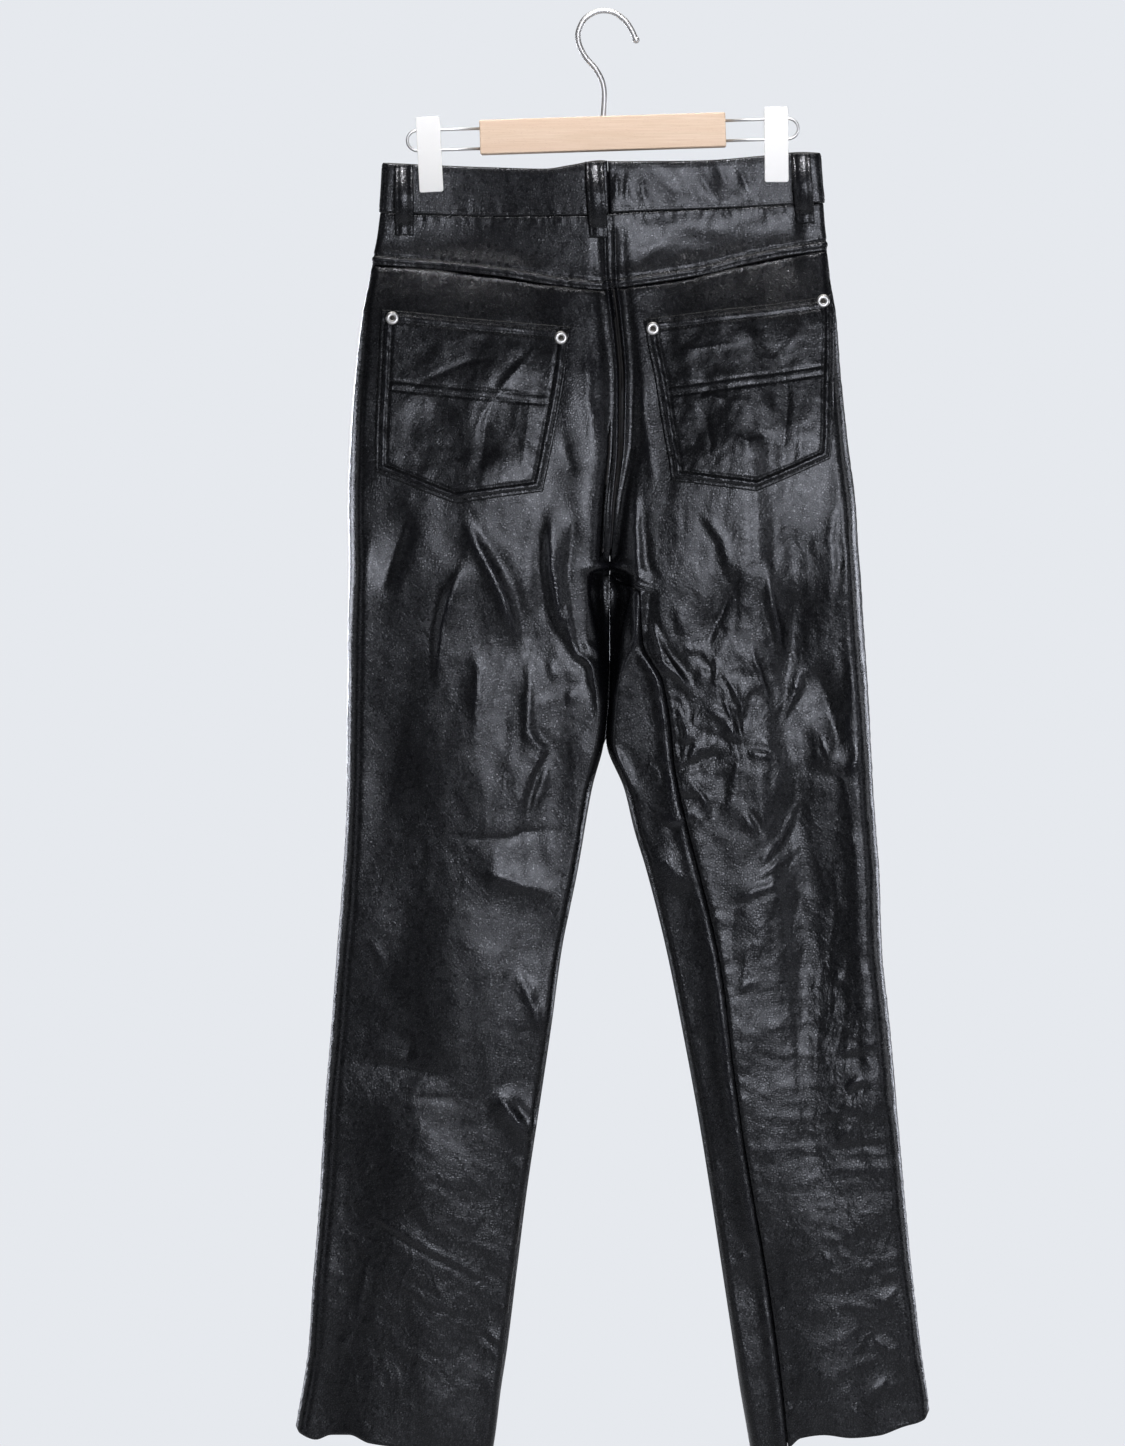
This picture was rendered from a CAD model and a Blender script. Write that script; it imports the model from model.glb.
"""Leather trousers hung by the waistband from a wooden clip hanger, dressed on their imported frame.

The origin is the inner top of the hanger's hook. X runs across the garment, Y from its back (-Y) to its
front (+Y) and Z up. Tables and sizes are in millimetres, and MM turns them into metres.

A leg is a tube that hangs flat. A place on it has two coordinates: `t`, which runs from 0 at the side
seam to -1 at the inner edge across the back and to +1 across the front, and the height `z`.
"""

import math
from collections import namedtuple

import bmesh
import bpy
import numpy as np
from bpy.props import FloatProperty, FloatVectorProperty, PointerProperty
from mathutils import Matrix, Vector


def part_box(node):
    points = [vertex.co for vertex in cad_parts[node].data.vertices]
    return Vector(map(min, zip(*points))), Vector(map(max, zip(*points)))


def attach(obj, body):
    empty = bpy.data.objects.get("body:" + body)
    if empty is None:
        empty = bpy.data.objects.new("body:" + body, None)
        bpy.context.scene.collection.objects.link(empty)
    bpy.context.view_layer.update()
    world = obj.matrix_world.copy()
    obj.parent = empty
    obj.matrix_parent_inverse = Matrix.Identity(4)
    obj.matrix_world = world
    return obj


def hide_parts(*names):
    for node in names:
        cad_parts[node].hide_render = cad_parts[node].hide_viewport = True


bl_info = {
    "name": "Leather Trousers on a Clip Hanger",
    "version": (1, 0, 0),
    "blender": (4, 5, 0),
    "location": "3D Viewport > Sidebar > Trousers",
    "description": "Cuts, sews and hangs a pair of leather trousers on a wooden clip hanger",
    "category": "Add Mesh",
}

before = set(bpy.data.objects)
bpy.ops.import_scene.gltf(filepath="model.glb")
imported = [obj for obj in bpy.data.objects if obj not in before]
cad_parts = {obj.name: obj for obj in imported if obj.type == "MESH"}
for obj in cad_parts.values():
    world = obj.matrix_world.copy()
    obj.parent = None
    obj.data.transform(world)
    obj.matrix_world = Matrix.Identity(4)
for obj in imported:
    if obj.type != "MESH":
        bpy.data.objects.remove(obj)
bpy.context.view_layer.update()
BODY = "root"
MM = 0.001

# Leather and seams
LEATHER = 1.5
BAND_LEATHER = 3.0
LOOP_LEATHER = 2.0
SEAM_GAP = 0.3
SIDE_GAP = 0.36
BAND_SEAM_GAP = 0.25
CROTCH_GAP = 1.2
THIGH_GAP = 0.3
BAND_PROUD = 0.8
POCKET_LIFT = 0.5
POCKET_SIDE_LIFT = 1.0

# Heights of the garment
CROTCH_Z = -451.5
HEM_Z = -1172.0
HEM_BLEND_Z = -1000.0
TOP_BLEND_Z = -420.0
BAND_TOP_Z = -120.0
FRONT_TOP_Z = -163.0
YOKE_TOP_Z = -164.0
BACK_TOP_Z = -225.0
PINCH_END_Z = -165.0
BODY_START_Z = -255.0
FRONT_DIP = 6.0
FRONT_HEM_LIFT = 2.5
CENTRE_FRONT_X = 2.2
WAIST_HALF = 175.0

# The band is pinched flat at the clips and bows out between and beside them
CLIP_X = {"left": -143.3, "right": 137.4}
PINCH_DEPTH = 2.4
PINCH_FLAT = 12.0
BOW_MIDDLE = 9.0
BOW_SIDE = 1.6
SIDE_RISE = 14.0

# Shares of the tube coordinate taken by the side turn and the inner turn
SIDE_SHARE = 0.20
INNER_SHARE = 0.72
INSEAM_GAP_SHARE = 0.0006
TURN_POWER = 2.2
FACE_BOW = 4.0
SEAM_ROUNDING = 5.0
SEAM_ROUNDING_HEIGHT = 12.0
FRONT_TURN_SHARE = 0.6
FRONT_TURN_HEIGHT = 110.0
THIGH_GAP_HEIGHT = 10.0

# Below the crotch the right panels' inner columns drift with the inseam, and lower down all of them do
DRIFT_START = 0.5
DRIFT_EVEN_Z = -760.0

# A fold fades out over this share of its length at each end, and is pressed to this share of its height
FOLD_END_SHARE = 0.3
FOLD_SHARE = 0.5

# The lapped front closing
FLY_LAP = 12.0
FLY_LIFT = 2.1
FLY_LAP_END_Z = -240.0
FLY_LAP_GONE_Z = -280.0
FLY_LIFT_GONE_Z = -315.0
FLY_LIFT_SHARE = 0.35
BAND_LAP = 24.0
BAND_LAP_LIFT = 3.8
BAND_LIFT_SHARE = 0.18

Edge = namedtuple("Edge", "z outer fold inner")
Depth = namedtuple("Depth", "z side back front")
Seam = namedtuple("Seam", "z y_back y_front")
Fold = namedtuple("Fold", "x0 z0 x1 z1 half_width height")


def rows_of(kind, *rows):
    """A table whose rows are all of one kind."""
    return tuple(kind(*row) for row in rows)


# Edges of each leg at each height: X of the outer edge, width of the inner turn, and X of the centre seam
# or, below the crotch, of the inner edge
EDGES = {
    "left": rows_of(
        Edge,
        (-112, -181.6, 25, 0), (-165, -185.2, 25, 2), (-210, -192, 33, 3), (-250, -199.5, 37, 7.5),
        (-300, -204.9, 39, 11.5), (-350, -208.7, 39, 11), (-400, -210.4, 36, 6), (-430, -209.8, 35, 4),
        (-451.5, -209.4, 34, 2.2), (-487, -209.6, 32, 2.2), (-520, -210, 25, 2.2), (-535, -210.2, 16, 2),
        (-562, -211, 9, 0.8), (-590, -211.3, 8, -2), (-631, -211.4, 8, -12.2), (-696, -214.6, 8, -23.6),
        (-761, -219.7, 8, -36.6), (-826, -224.6, 8, -45.5), (-892, -229.8, 8, -55.3),
        (-957, -233.3, 8, -65), (-1022, -238.2, 8, -73.2), (-1087, -243.1, 8, -81.3),
        (-1119, -248, 8, -86.2), (-1152, -253.5, 8, -90.2), (-1172, -255.5, 8, -93.2),
    ),
    "right": rows_of(
        Edge,
        (-112, 173.2, 25, 0), (-165, 177, 25, 2), (-210, 180.6, 25, 3), (-250, 186.6, 24, 7.5),
        (-300, 190.5, 22, 11.5), (-350, 195.8, 20, 11), (-400, 202.1, 20, 6), (-430, 204, 22, 4),
        (-451.5, 205.7, 24, 2.2), (-487, 208, 24, 2.2), (-520, 210.3, 17, 2.2), (-535, 211.2, 12, 2),
        (-562, 213, 8, 0.8), (-590, 214.2, 8, -1), (-631, 216.3, 8, 14), (-664, 218.7, 8, 22),
        (-696, 221.1, 8, 31.7), (-761, 223.6, 8, 48), (-826, 230.1, 8, 61), (-892, 235.8, 8, 73.2),
        (-957, 241.5, 8, 83.7), (-1022, 248, 8, 93.5), (-1087, 255.3, 8, 103.3), (-1119, 260.2, 8, 108.1),
        (-1152, 263.6, 8, 113.8), (-1172, 264.5, 8, 117.1),
    ),
}

# At each height, the width of the side turn and how far the back and the front stand from the middle plane
DEPTHS = rows_of(
    Depth,
    (-112, 6, 6, 6), (-165, 6, 7, 7), (-210, 7, 15, 14), (-250, 9, 19, 16), (-300, 11, 25, 18),
    (-350, 12, 30, 20), (-400, 13, 33, 22), (-451.5, 13, 33, 23), (-510, 14, 29, 22), (-590, 14, 24, 20),
    (-700, 14, 21, 18.5), (-860, 14, 19, 17), (-1020, 13, 17.5, 16), (-1172, 12, 16, 15),
)

# Depth of the centre seam, on the back and on the front, and below the crotch of the line where the thighs
# meet
SEAMS = rows_of(
    Seam,
    (-165, -10, 9), (-210, -10.8, 9.5), (-250, -14, 11.5), (-300, -18, 13), (-350, -20, 14),
    (-400, -18, 11), (-430, -13, 5), (-446, -8.5, -4), (-451.5, -7, -7), (-457.5, 7, 7), (-470, 8, 8),
    (-500, 6, 6), (-530, 3, 3), (-560, 0, 0), (-1172, 0, 0),
)

# X of the right inseam, which turns onto the back face below the crotch
INSEAM_RIGHT = (
    (-470, 26.4), (-512, 28.5), (-543, 44.7), (-579, 51.0), (-608, 53.7), (-662, 65.0), (-704, 75.6),
    (-755, 87.8), (-791, 94.3), (-852, 101.6), (-921, 111.4), (-978, 121.1), (-1005, 126.0),
    (-1121, 142.3), (-1172, 147.6),
)

# Curves across the garment, as X and Z
BAND_TOP = (
    (-182, -121.5), (-144, -123.2), (-87, -125.6), (-50, -126.8), (-30, -124.0), (-5, -120.2), (4, -121.0),
    (43, -120.6), (76, -119.9), (124, -115.9), (157, -112.8), (174, -113.4),
)
BAND_SEAM = (
    (-185, -162.2), (-87, -165.4), (-14, -165.0), (4, -163.4), (35, -161.6), (76, -159.8), (124, -157.3),
    (176, -154.1),
)
YOKE_SEAM = (
    (-190, -204.5), (-136, -208.5), (-87, -214.2), (-38, -222.4), (-3, -225.6), (4, -224.6), (43, -219.1),
    (76, -213.4), (108, -205.3), (141, -198.0), (181, -192.3),
)
HEM = {
    "left": (
        (-253, -1147.6), (-249, -1153.2), (-236, -1158.1), (-224, -1154.2), (-209, -1154.0), (-193, -1160.6),
        (-161, -1164.6), (-92, -1168.0),
    ),
    "right": (
        (112, -1169.6), (128, -1171.0), (142, -1169.5), (149, -1163.5), (157, -1156.8), (176, -1154.1),
        (198, -1156.5), (220, -1154.9), (240, -1148.0), (258, -1142.0), (263, -1131.0),
    ),
}

# The largest folds on the back, as X and Z of both ends, half width and height: soft ridges and, where the
# height is below 0, troughs
BACK_FOLDS = rows_of(
    Fold,
    (-44, -388, -27, -530, 12, 4), (-28, -398, -20, -548, 10, -3), (-113, -436, -142, -556, 13, 3),
    (-112, -410, -68, -520, 16, 2.5), (-56, -500, -70, -668, 13, 3), (-158, -396, -186, -480, 11, -2.5),
    (-112, -690, -32, -720, 14, 2.5), (-210, -856, -112, -864, 12, -2), (-90, -872, -60, -920, 13, 3),
    (107, -446, 78, -524, 12, -3), (128, -440, 147, -540, 13, 4), (156, -460, 149, -544, 12, -4),
    (161, -520, 191, -612, 13, -4), (172, -566, 182, -622, 11, 3), (168, -622, 110, -716, 13, -3),
    (32, -674, 74, -716, 12, 3), (164, -590, 168, -1010, 24, -4), (206, -600, 212, -1000, 22, 3),
    (54, -560, 132, -1060, 14, 2.5),
)
# Gentler ones on the front, which hangs behind
FRONT_FOLDS = rows_of(
    Fold,
    (-60, -330, -120, -470, 22, 3), (60, -340, 118, -470, 22, 3), (-40, -470, -90, -640, 20, 3.5),
    (36, -480, 92, -650, 20, 3.5), (-170, -560, -110, -700, 22, -3), (176, -580, 120, -720, 22, -3),
    (-200, -840, -96, -872, 18, -2.5), (210, -820, 100, -850, 18, -2.5), (-160, -900, -176, -1100, 24, 3),
    (178, -900, 192, -1100, 24, 3),
)
# Back pockets: corners as X and Z, and where the point of the lower edge comes
Pocket = namedtuple("Pocket", "top_outer top_inner low_inner point low_outer")
POCKETS = {
    "left": Pocket((-182.9, -241.9), (-29.3, -256.5), (-52.0, -389.8), (-123.6, -399.6), (-187.8, -373.6)),
    "right": Pocket((180.2, -229.0), (29.3, -250.0), (51.6, -380.9), (120.7, -389.8), (180.6, -363.0)),
}
RIVETS = {
    "rivet_left_outer": ("left", -174.0, -248.4),
    "rivet_left_inner": ("left", -37.4, -264.6),
    "rivet_right_inner": ("right", 37.0, -257.3),
    "rivet_right_outer": ("right", 174.8, -234.5),
}

# Belt loops: the leg and face that each lies on, and X and Z of its two ends
Loop = namedtuple("Loop", "leg face x_top z_top x_low z_low")
LOOPS = {
    "belt_loop_back_left": Loop("left", "back", -165.0, -123.2, -164.6, -180.9),
    "belt_loop_back_centre": Loop("left", "back", -10.4, -121.6, -6.6, -183.3),
    "belt_loop_back_right": Loop("right", "back", 157.3, -114.2, 161.2, -171.1),
    "belt_loop_front_left": Loop("left", "front", -86.0, -131.0, -86.0, -189.0),
    "belt_loop_front_right": Loop("right", "front", 86.0, -125.0, 87.0, -183.0),
}
LOOP_WIDTH = 15.0
# How far a new loop bulges over the band, and the share of it that a worn loop keeps
LOOP_BULGE = 8.0
LOOP_SLACK = 0.8
# Shares of a loop's length between which it bulges, and between which it comes down onto the leather
LOOP_ARCH = (0.04, 0.88)
LOOP_SETTLES = (0.72, 0.92)
LOOP_END_LIFT = {"back": 0.6, "front": 2.0}
LOOP_GAP = 0.5

# The zip behind the fly, and the button's place as X and Z
ZIP_WIDTH = 24.0
ZIP_TAPE = 1.0
ZIP_TOP_Z = -174.0
ZIP_LOW_Z = -284.0
ZIP_DEPTH = 2.4
ZIP_COLUMNS = 17
ZIP_SPACING = 2.0
# Its rows of teeth: how far beside the middle each one runs and how much lower it starts
TOOTH_ROWS = ((-1.1, 0.0), (1.1, 1.25))
TOOTH_STEP = 2.5
TOOTH_SIZE = (1.3, 1.1, 2.6)
TOOTH_UNEVENNESS = 0.02
TOOTH_LIFT = 0.5
BUTTON_PLACE = (13.0, -146.0)

# Hanger: the bar, its two wires, the hook and the clips with their places and tilts
HANGER_TILT = math.radians(1.84)
BAR_SIZE = (199.9, 12.0, 28.0)
BAR_CENTRE = (-3.5, 0.0, -97.8)
WIRE_BEND = 8.2
WIRE_REACH = 159.0
WIRE_DROP = -0.7
WIRE_SEAT = 3.0
WIRE_BEND_STEPS = 24
WIRE_SMOOTHNESS = 10
HOOK_RADIUS = 2.25
HOOK_POINTS = (
    (-3.0, -59.0), (-7.6, -47.6), (-19.5, -32.1), (-23.6, -19.9), (-22.0, -11.0), (-15.4, -2.0), (0.0, 2.25),
    (13.0, -4.1), (19.5, -12.6), (23.6, -21.5),
)
CLIP_SIZE = (19.5, 1.6, 61.5)
CLIP_PLACES = {
    "left": (-144.2, -114.9, math.radians(-3.0)),
    "right": (137.6, -106.8, math.radians(-0.4)),
}
SPRING_LENGTH = 13.0

# Grids of the sheets, as the distance between their points
BACK_SPACING = 2.5
FRONT_SPACING = 3.8
BAND_SPACING = 1.6
YOKE_SPACING = 1.15
POCKET_SPACING = 1.2
LOOP_SPACING = 0.9
# A share of the tube that is clear of both its seams
MID_FACE = 0.5
# The girths that the columns are spread along, and how finely the tube is measured there
LEG_GIRTH_Z = -400.0
YOKE_GIRTH_Z = -190.0
BAND_GIRTH_Z = -140.0
GIRTH_SAMPLES = 4000
NORMAL_STEP = 0.004
# A height that hangs on X, which hangs on the height, settles in this many rounds
SETTLING_ROUNDS = 4

# Creases pressed and worn into the leather: half width, height, the side that the trough lies on, and way
Crease = namedtuple("Crease", "width height lean path")


def creases_of(*rows):
    """Creases from rows of half width, height and lean, then X and Z of each point of the way."""
    return tuple(Crease(width, height, lean, np.reshape(way, (-1, 2)).astype(float))
                 for width, height, lean, *way in rows)


BACK_CREASES = creases_of(
    (6, -1.75, 0, -159, -400, -185, -477), (5, 2.125, 1, -114, -439, -124, -466, -133, -500, -141, -550),
    (6, 2.75, -1, -120, -400, -99, -448, -84, -479, -64, -530),
    (4, 1.375, 0, -109, -508, -105, -534, -107, -564, -103, -586),
    (6, 3.25, 1, -45, -396, -46, -433, -43, -474, -36, -498, -26, -524),
    (6, -3, 0, -28, -396, -32, -452, -23, -515, -15, -550),
    (4, 1.75, -1, -56, -508, -62, -526, -65, -564, -65, -584, -54, -599, -67, -638, -69, -665),
    (3, 1.25, 0, -46, -522, -43, -545), (4, 1.125, 0, -29, -545, -31, -563),
    (3.5, 1.375, 1, -46, -600, -54, -630, -63, -661),
    (2.4, -1, 0, -140, -669, -83, -670, -63, -665, -22, -662),
    (5, 1.375, 0, -109, -691, -71, -708, -34, -718), (3, 0.75, 0, -192, -749, -177, -783),
    (6, 2.25, 0, -77, -770, -61, -802, -48, -839), (2.4, -1.25, 0, -159, -832, -162, -852),
    (2.6, -1, 0, -208, -855, -160, -857, -115, -863), (2.6, -0.75, 0, -167, -881, -115, -881),
    (4.5, 2.5, -1, -89, -877, -76, -896, -63, -917),
    (2.6, 1.125, 1, -209, -956, -202, -970, -185, -979, -160, -995, -124, -1013, -79, -1038),
    (2.6, 1, 1, -104, -1065, -83, -1080), (3, 0.75, 0, -192, -1001, -199, -1038, -205, -1074),
    (3, 0.875, 0, -217, -1077, -207, -1083),
    (4, 2.125, 1, -32, -446, -30, -487, -24, -521, -13, -530, -7, -562, -5, -579),
    (3, 1.625, 0, -20, -509, -12, -516, -5, -526),
    (4, 2.375, -1, 14, -368, 23, -388, 26, -413, 26, -446, 27, -479, 25, -504, 18, -522, 7, -551, 2, -579),
    (4, 1.875, -1, 33, -486, 45, -527, 59, -539, 74, -561), (3, 1.75, 1, 109, -598, 102, -576, 94, -556),
    (3, -1.625, 0, 109, -598, 78, -608, 59, -613, 30, -613), (3, 1.25, -1, 109, -600, 136, -605),
    (3.5, 1.5, 1, 108, -600, 102, -631, 93, -660), (3, 1.5, -1, 107, -643, 124, -673),
    (2.6, 1.625, -1, 63, -511, 74, -520), (2.6, 1.375, 1, 75, -523, 76, -538, 74, -552),
    (2.6, 1.375, 1, 89, -521, 89, -537, 88, -552), (2.6, -1.375, 0, 109, -451, 94, -486, 80, -519),
    (5, 2.75, 1, 128, -444, 138, -496, 146, -535), (5, -2, 0, 154, -465, 152, -501, 149, -539),
    (4, 1.875, -1, 159, -527, 152, -550, 142, -577),
    (5, -2.25, 0, 161, -523, 176, -556, 188, -590, 190, -608), (4, 1.625, 0, 173, -577, 181, -614),
    (4, 1.375, 0, 207, -596, 196, -622), (3, 1.25, -1, 167, -626, 141, -668, 111, -712),
    (3, 1.125, -1, 161, -673, 137, -691, 111, -710), (3, 1.125, -1, 149, -705, 120, -713, 94, -722),
    (3, 1.125, 0, 33, -678, 51, -695, 72, -712), (4, 1.75, -1, 3, -590, 12, -610, 24, -633),
    (3, 1.125, 0, 98, -800, 112, -789, 128, -781), (2.6, -1, 0, 113, -843, 137, -850),
    (3, -1, 0, 186, -848, 217, -849), (3, 1.125, 0, 186, -774, 188, -789),
    (3, 1.25, 0, 206, -861, 192, -874), (3, -1.25, 0, 215, -868, 185, -885),
    (3, 1.25, 0, 202, -904, 185, -917), (3, -1.375, 0, 176, -923, 206, -919, 230, -913),
    (3, 1.125, 0, 106, -1004, 116, -1016), (2.6, 1, 0, 125, -1005, 128, -991),
    (3, 0.875, 0, 175, -1007, 183, -1018), (3.5, 1.375, 0, 215, -1052, 228, -1043, 241, -1033),
    (3, 1.125, 0, 215, -1074, 228, -1088), (3, 1.125, 0, 229, -1108, 213, -1122),
    (3, 1.125, 0, 196, -1126, 215, -1148), (3, -0.625, 0, 144, -1126, 188, -1125),
    (4, 1.25, 0, 80, -932, 87, -948), (3, 1.625, 1, 53, -474, 63, -511),
    (3, 1.5, -1, 39, -509, 55, -532, 74, -558), (3, -1.5, 0, 67, -509, 80, -532, 95, -535),
    (3, 1.5, 1, 95, -535, 110, -563, 109, -598), (3, 1.375, -1, 74, -561, 93, -571, 109, -598),
    (3, -1.375, 0, 61, -574, 82, -587, 109, -598), (3, 1.5, 1, 56, -558, 63, -583, 59, -609),
    (3, 1.375, -1, 76, -608, 85, -592, 79, -571), (3, -1.25, 0, 46, -587, 59, -595, 76, -592),
    (3, 1.375, 1, 30, -597, 43, -607, 59, -613), (3, 1.375, -1, 67, -620, 80, -639, 85, -661),
    (3, -1.25, 0, 45, -631, 67, -639, 85, -631), (3, 1.25, 1, 37, -649, 56, -657, 74, -649),
    (3.5, 1.625, -1, 114, -509, 124, -539, 133, -574), (3, -1.375, 0, 121, -550, 110, -574, 100, -592),
    (5, 1.5, 0, -15, -257, -14, -314, -11, -371), (5, -1.25, 0, -38, -339, -27, -387),
    (5, 1.375, 0, 27, -282, 32, -339, 39, -396), (4, 1.125, 1, 67, -396, 92, -428, 104, -477),
    (4, 1.125, -1, 189, -379, 180, -428, 186, -493), (5, 1.125, 0, -191, -412, -196, -477),
    (34, 4.5, 0, -28, -172, -30, -257, -33, -371), (26, -3, 0, -83, -371, -77, -493, -87, -639),
    (20, -5, 0, 134, -184, 136, -330, 144, -477, 157, -721, 169, -997),
    (13, -1.8, 0, -146, -298, -111, -374), (13, -1.8, 0, -71, -298, -105, -374),
    (24, 2, 0, 39, -412, 50, -558, 89, -802, 124, -1046), (12, 2.5, 0, 194, -412, 204, -680, 222, -997),
)
FRONT_CREASES = creases_of(
    (7, 1.8, 1, -150, -250, -120, -300, -96, -360), (6, 1.6, -1, 146, -244, 118, -296, 98, -352),
    (5, 1.5, 0, -20, -330, -52, -392, -86, -440), (5, 1.5, 0, 26, -334, 60, -396, 88, -436),
    (6, -1.7, 0, -16, -400, -50, -446, -92, -482), (6, -1.8, 0, 20, -404, 54, -452, 98, -478),
    (4, 1.5, -1, -150, -430, -164, -500, -172, -580), (4, 1.4, 1, 150, -440, 168, -510, 170, -586),
    (5, 2, 1, -44, -470, -58, -540, -52, -620, -66, -690),
    (5, 2.1, -1, 40, -476, 56, -548, 66, -610, 84, -672), (3, 1.3, 0, -120, -560, -96, -604, -92, -650),
    (3, -1.2, 0, -190, -640, -140, -652, -84, -640), (3, -1.3, 0, 70, -650, 120, -664, 176, -652),
    (3, 1.2, 1, 120, -596, 138, -640, 134, -690), (4, 1.3, 0, 180, -700, 150, -752, 112, -790),
    (4, 1.2, -1, -186, -716, -150, -750, -112, -760), (3, 1, 0, -76, -760, -104, -800, -140, -826),
    (3, -1, 0, -212, -852, -150, -866, -100, -858), (3, -1, 0, 104, -836, 160, -850, 222, -842),
    (3, 1.1, 1, 212, -880, 176, -912, 130, -926), (3, 1, 0, -200, -920, -160, -958, -108, -980),
    (3, 0.9, -1, 126, -968, 170, -1000, 214, -1012), (3, 0.9, 0, -216, -1010, -176, -1046, -124, -1060),
    (3, 0.9, 1, 150, -1050, 196, -1084, 238, -1096), (3, 0.8, 0, -226, -1090, -190, -1112, -150, -1120),
    (4, 0.8, 0, 170, -1110, 196, -1140, 212, -1158),
)
# How a crease fades at its ends, narrows there, sits on a broader swell and wanders
CREASE_REACH = 6.0
CREASE_SHARP = 1.7
BROAD_CREASE = 9.0
CREASE_FADE = 0.42
CREASE_NARROW = 0.45
CREASE_SWELL = (2.4, 0.3)
TROUGH_SHARE = 0.55
TROUGH_PLACE = 1.6
TROUGH_WIDTH = 1.1
# How far what is laid on the leather wanders, over which waves and from which seed
Sway = namedtuple("Sway", "reach across down seed")
SWAYS = (Sway(2.6, 38, 44, 301), Sway(0.7, 12, 14, 305))

# Unevenness of worn leather: wave length across, wave length down, turn in degrees, height and seed
Wave = namedtuple("Wave", "across down turn height seed")
BROAD_WAVES = (Wave(58, 140, 4, 2.4, 11), Wave(34, 72, -12, 0.8, 12))
FINE_WAVES = (Wave(17, 24, 18, 0.22, 13), Wave(9, 10, 0, 0.08, 14))

# Ridges and, where the height is below 0, valleys: wave lengths, turn, height, sharpness and seed
Crumple = namedtuple("Crumple", "across down turn height sharp seed")
# Where they show: the middle, half width, half height and strength of each patch
Patch = namedtuple("Patch", "x z across down strength")
# Each kind of crumpling of a face, with its patches and how strongly it shows everywhere
Zone = namedtuple("Zone", "least crumples patches")


def zone_of(least, crumples, patches):
    """A zone from plain rows."""
    return Zone(least, rows_of(Crumple, *crumples), rows_of(Patch, *patches))


BACK_ZONES = (
    # Long soft folds down the thighs
    zone_of(0.05, ((26, 150, 5, 1.1, 1.5, 21), (16, 90, -7, -0.6, 2.4, 22)), (
        (130, -480, 90, 120, 0.7), (-100, -500, 100, 130, 0.25), (130, -760, 110, 120, 0.4),
        (-60, -640, 50, 120, 0.35), (190, -680, 50, 200, 0.3),
    )),
    # The knot of facets at the right knee, and smaller ones
    zone_of(0.02, ((36, 44, 24, 0.8, 1.7, 23), (21, 27, -35, -0.6, 2.6, 24),
                (12, 16, 10, 0.3, 2.4, 25)), (
        (92, -575, 62, 62, 0.9), (60, -640, 40, 60, 0.5), (-40, -520, 30, 60, 0.4),
        (-70, -900, 30, 40, 0.5), (112, -1000, 40, 110, 0.3), (-64, -800, 24, 36, 0.5),
    )),
    # Shallow wrinkles across the lower legs
    zone_of(0.03, ((90, 26, 10, 0.55, 1.8, 26), (60, 14, -8, -0.3, 3.0, 27)), (
        (140, -790, 80, 90, 0.6), (206, -880, 50, 120, 0.9), (214, -1040, 50, 90, 0.8),
        (-150, -860, 100, 40, 0.45), (-110, -690, 100, 30, 0.35), (150, -950, 60, 60, 0.4),
    )),
    # Fine slanting wrinkles towards the left hem
    zone_of(0.0, ((110, 19, -28, 0.4, 2.0, 28), (80, 11, -24, 0.2, 3.0, 29)), (
        (-140, -1010, 110, 110, 0.9), (-200, -1120, 60, 40, 0.5), (130, -1120, 60, 40, 0.4),
    )),
)
FRONT_ZONES = (
    zone_of(0.12, ((26, 120, -4, 2.0, 1.6, 41), (16, 76, 8, -0.9, 2.6, 42)), (
        (120, -480, 100, 130, 0.7), (-110, -480, 100, 130, 0.7), (140, -760, 110, 120, 0.4),
        (-130, -740, 90, 120, 0.4),
    )),
    zone_of(0.05, ((36, 44, -24, 2.0, 1.8, 43), (21, 27, 35, -1.3, 3.0, 44)), (
        (100, -600, 70, 60, 0.8), (-100, -600, 70, 60, 0.8), (-30, -390, 40, 50, 0.5),
        (50, -390, 40, 50, 0.5),
    )),
    zone_of(0.06, ((64, 19, -10, 1.2, 2.0, 46), (44, 11, 8, -0.5, 3.0, 47)), (
        (150, -820, 90, 80, 0.7), (-150, -820, 90, 80, 0.7), (200, -1030, 60, 90, 0.7),
        (-190, -1030, 60, 90, 0.7),
    )),
)
# The attribute that says where the smallest wrinkles show, and its value on pieces that have no patches
CRUMPLED = "crumpled"
PLAIN_CRUMPLED = 0.15
POCKET_CRUMPLED = 0.12
# Random heights: cells of the lattice that they repeat on, and their gain
LATTICE = 61
NOISE_GAIN = 1.5
CRUMPLE_GAIN = 1.7
FRONT_SEED_SHIFT = 100

# The attribute that marks worn crests, the reach of the blur it stands out from, and its full height
CREST = "crest"
CREST_ROUNDS = 24
CREST_RANGE = 3.0
# The finished panels by their nodes, for what is laid or sewn on them
PANELS = {}

# Extra columns close to the centre back seam and over the strip that wraps to the back
SEAM_COLUMNS = tuple(np.linspace(0.88, 1.0, 20))
WRAPPED_EXTRA = tuple(np.linspace(0.68, 1.0, 40))

# The hollow below the crotch: half widths at its foot and top, where it widens, its end and fade, how far
# below the crotch it starts and over which height, and how far it lies behind the seam
HOLLOW_WIDTH = (6.0, 12.0)
HOLLOW_NARROW = (-520.0, 55.0)
HOLLOW_END_Z = -565.0
HOLLOW_FADE = 95.0
HOLLOW_START = (1.5, 5.0)
HOLLOW_BEHIND = 0.5
# Where the left front's inner side touches the right leg: its two heights, how deep behind the seam and
# over which reach, by how much, and the blends at its two heights
TOUCH_END_Z = -597.0
TOUCH_TOP_Z = -405.0
TOUCH_DEPTH = 8.5
TOUCH_REACH = 3.5
TOUCH_OVERLAP = 0.15
TOUCH_BLENDS = (8.0, 10.0)
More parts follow.
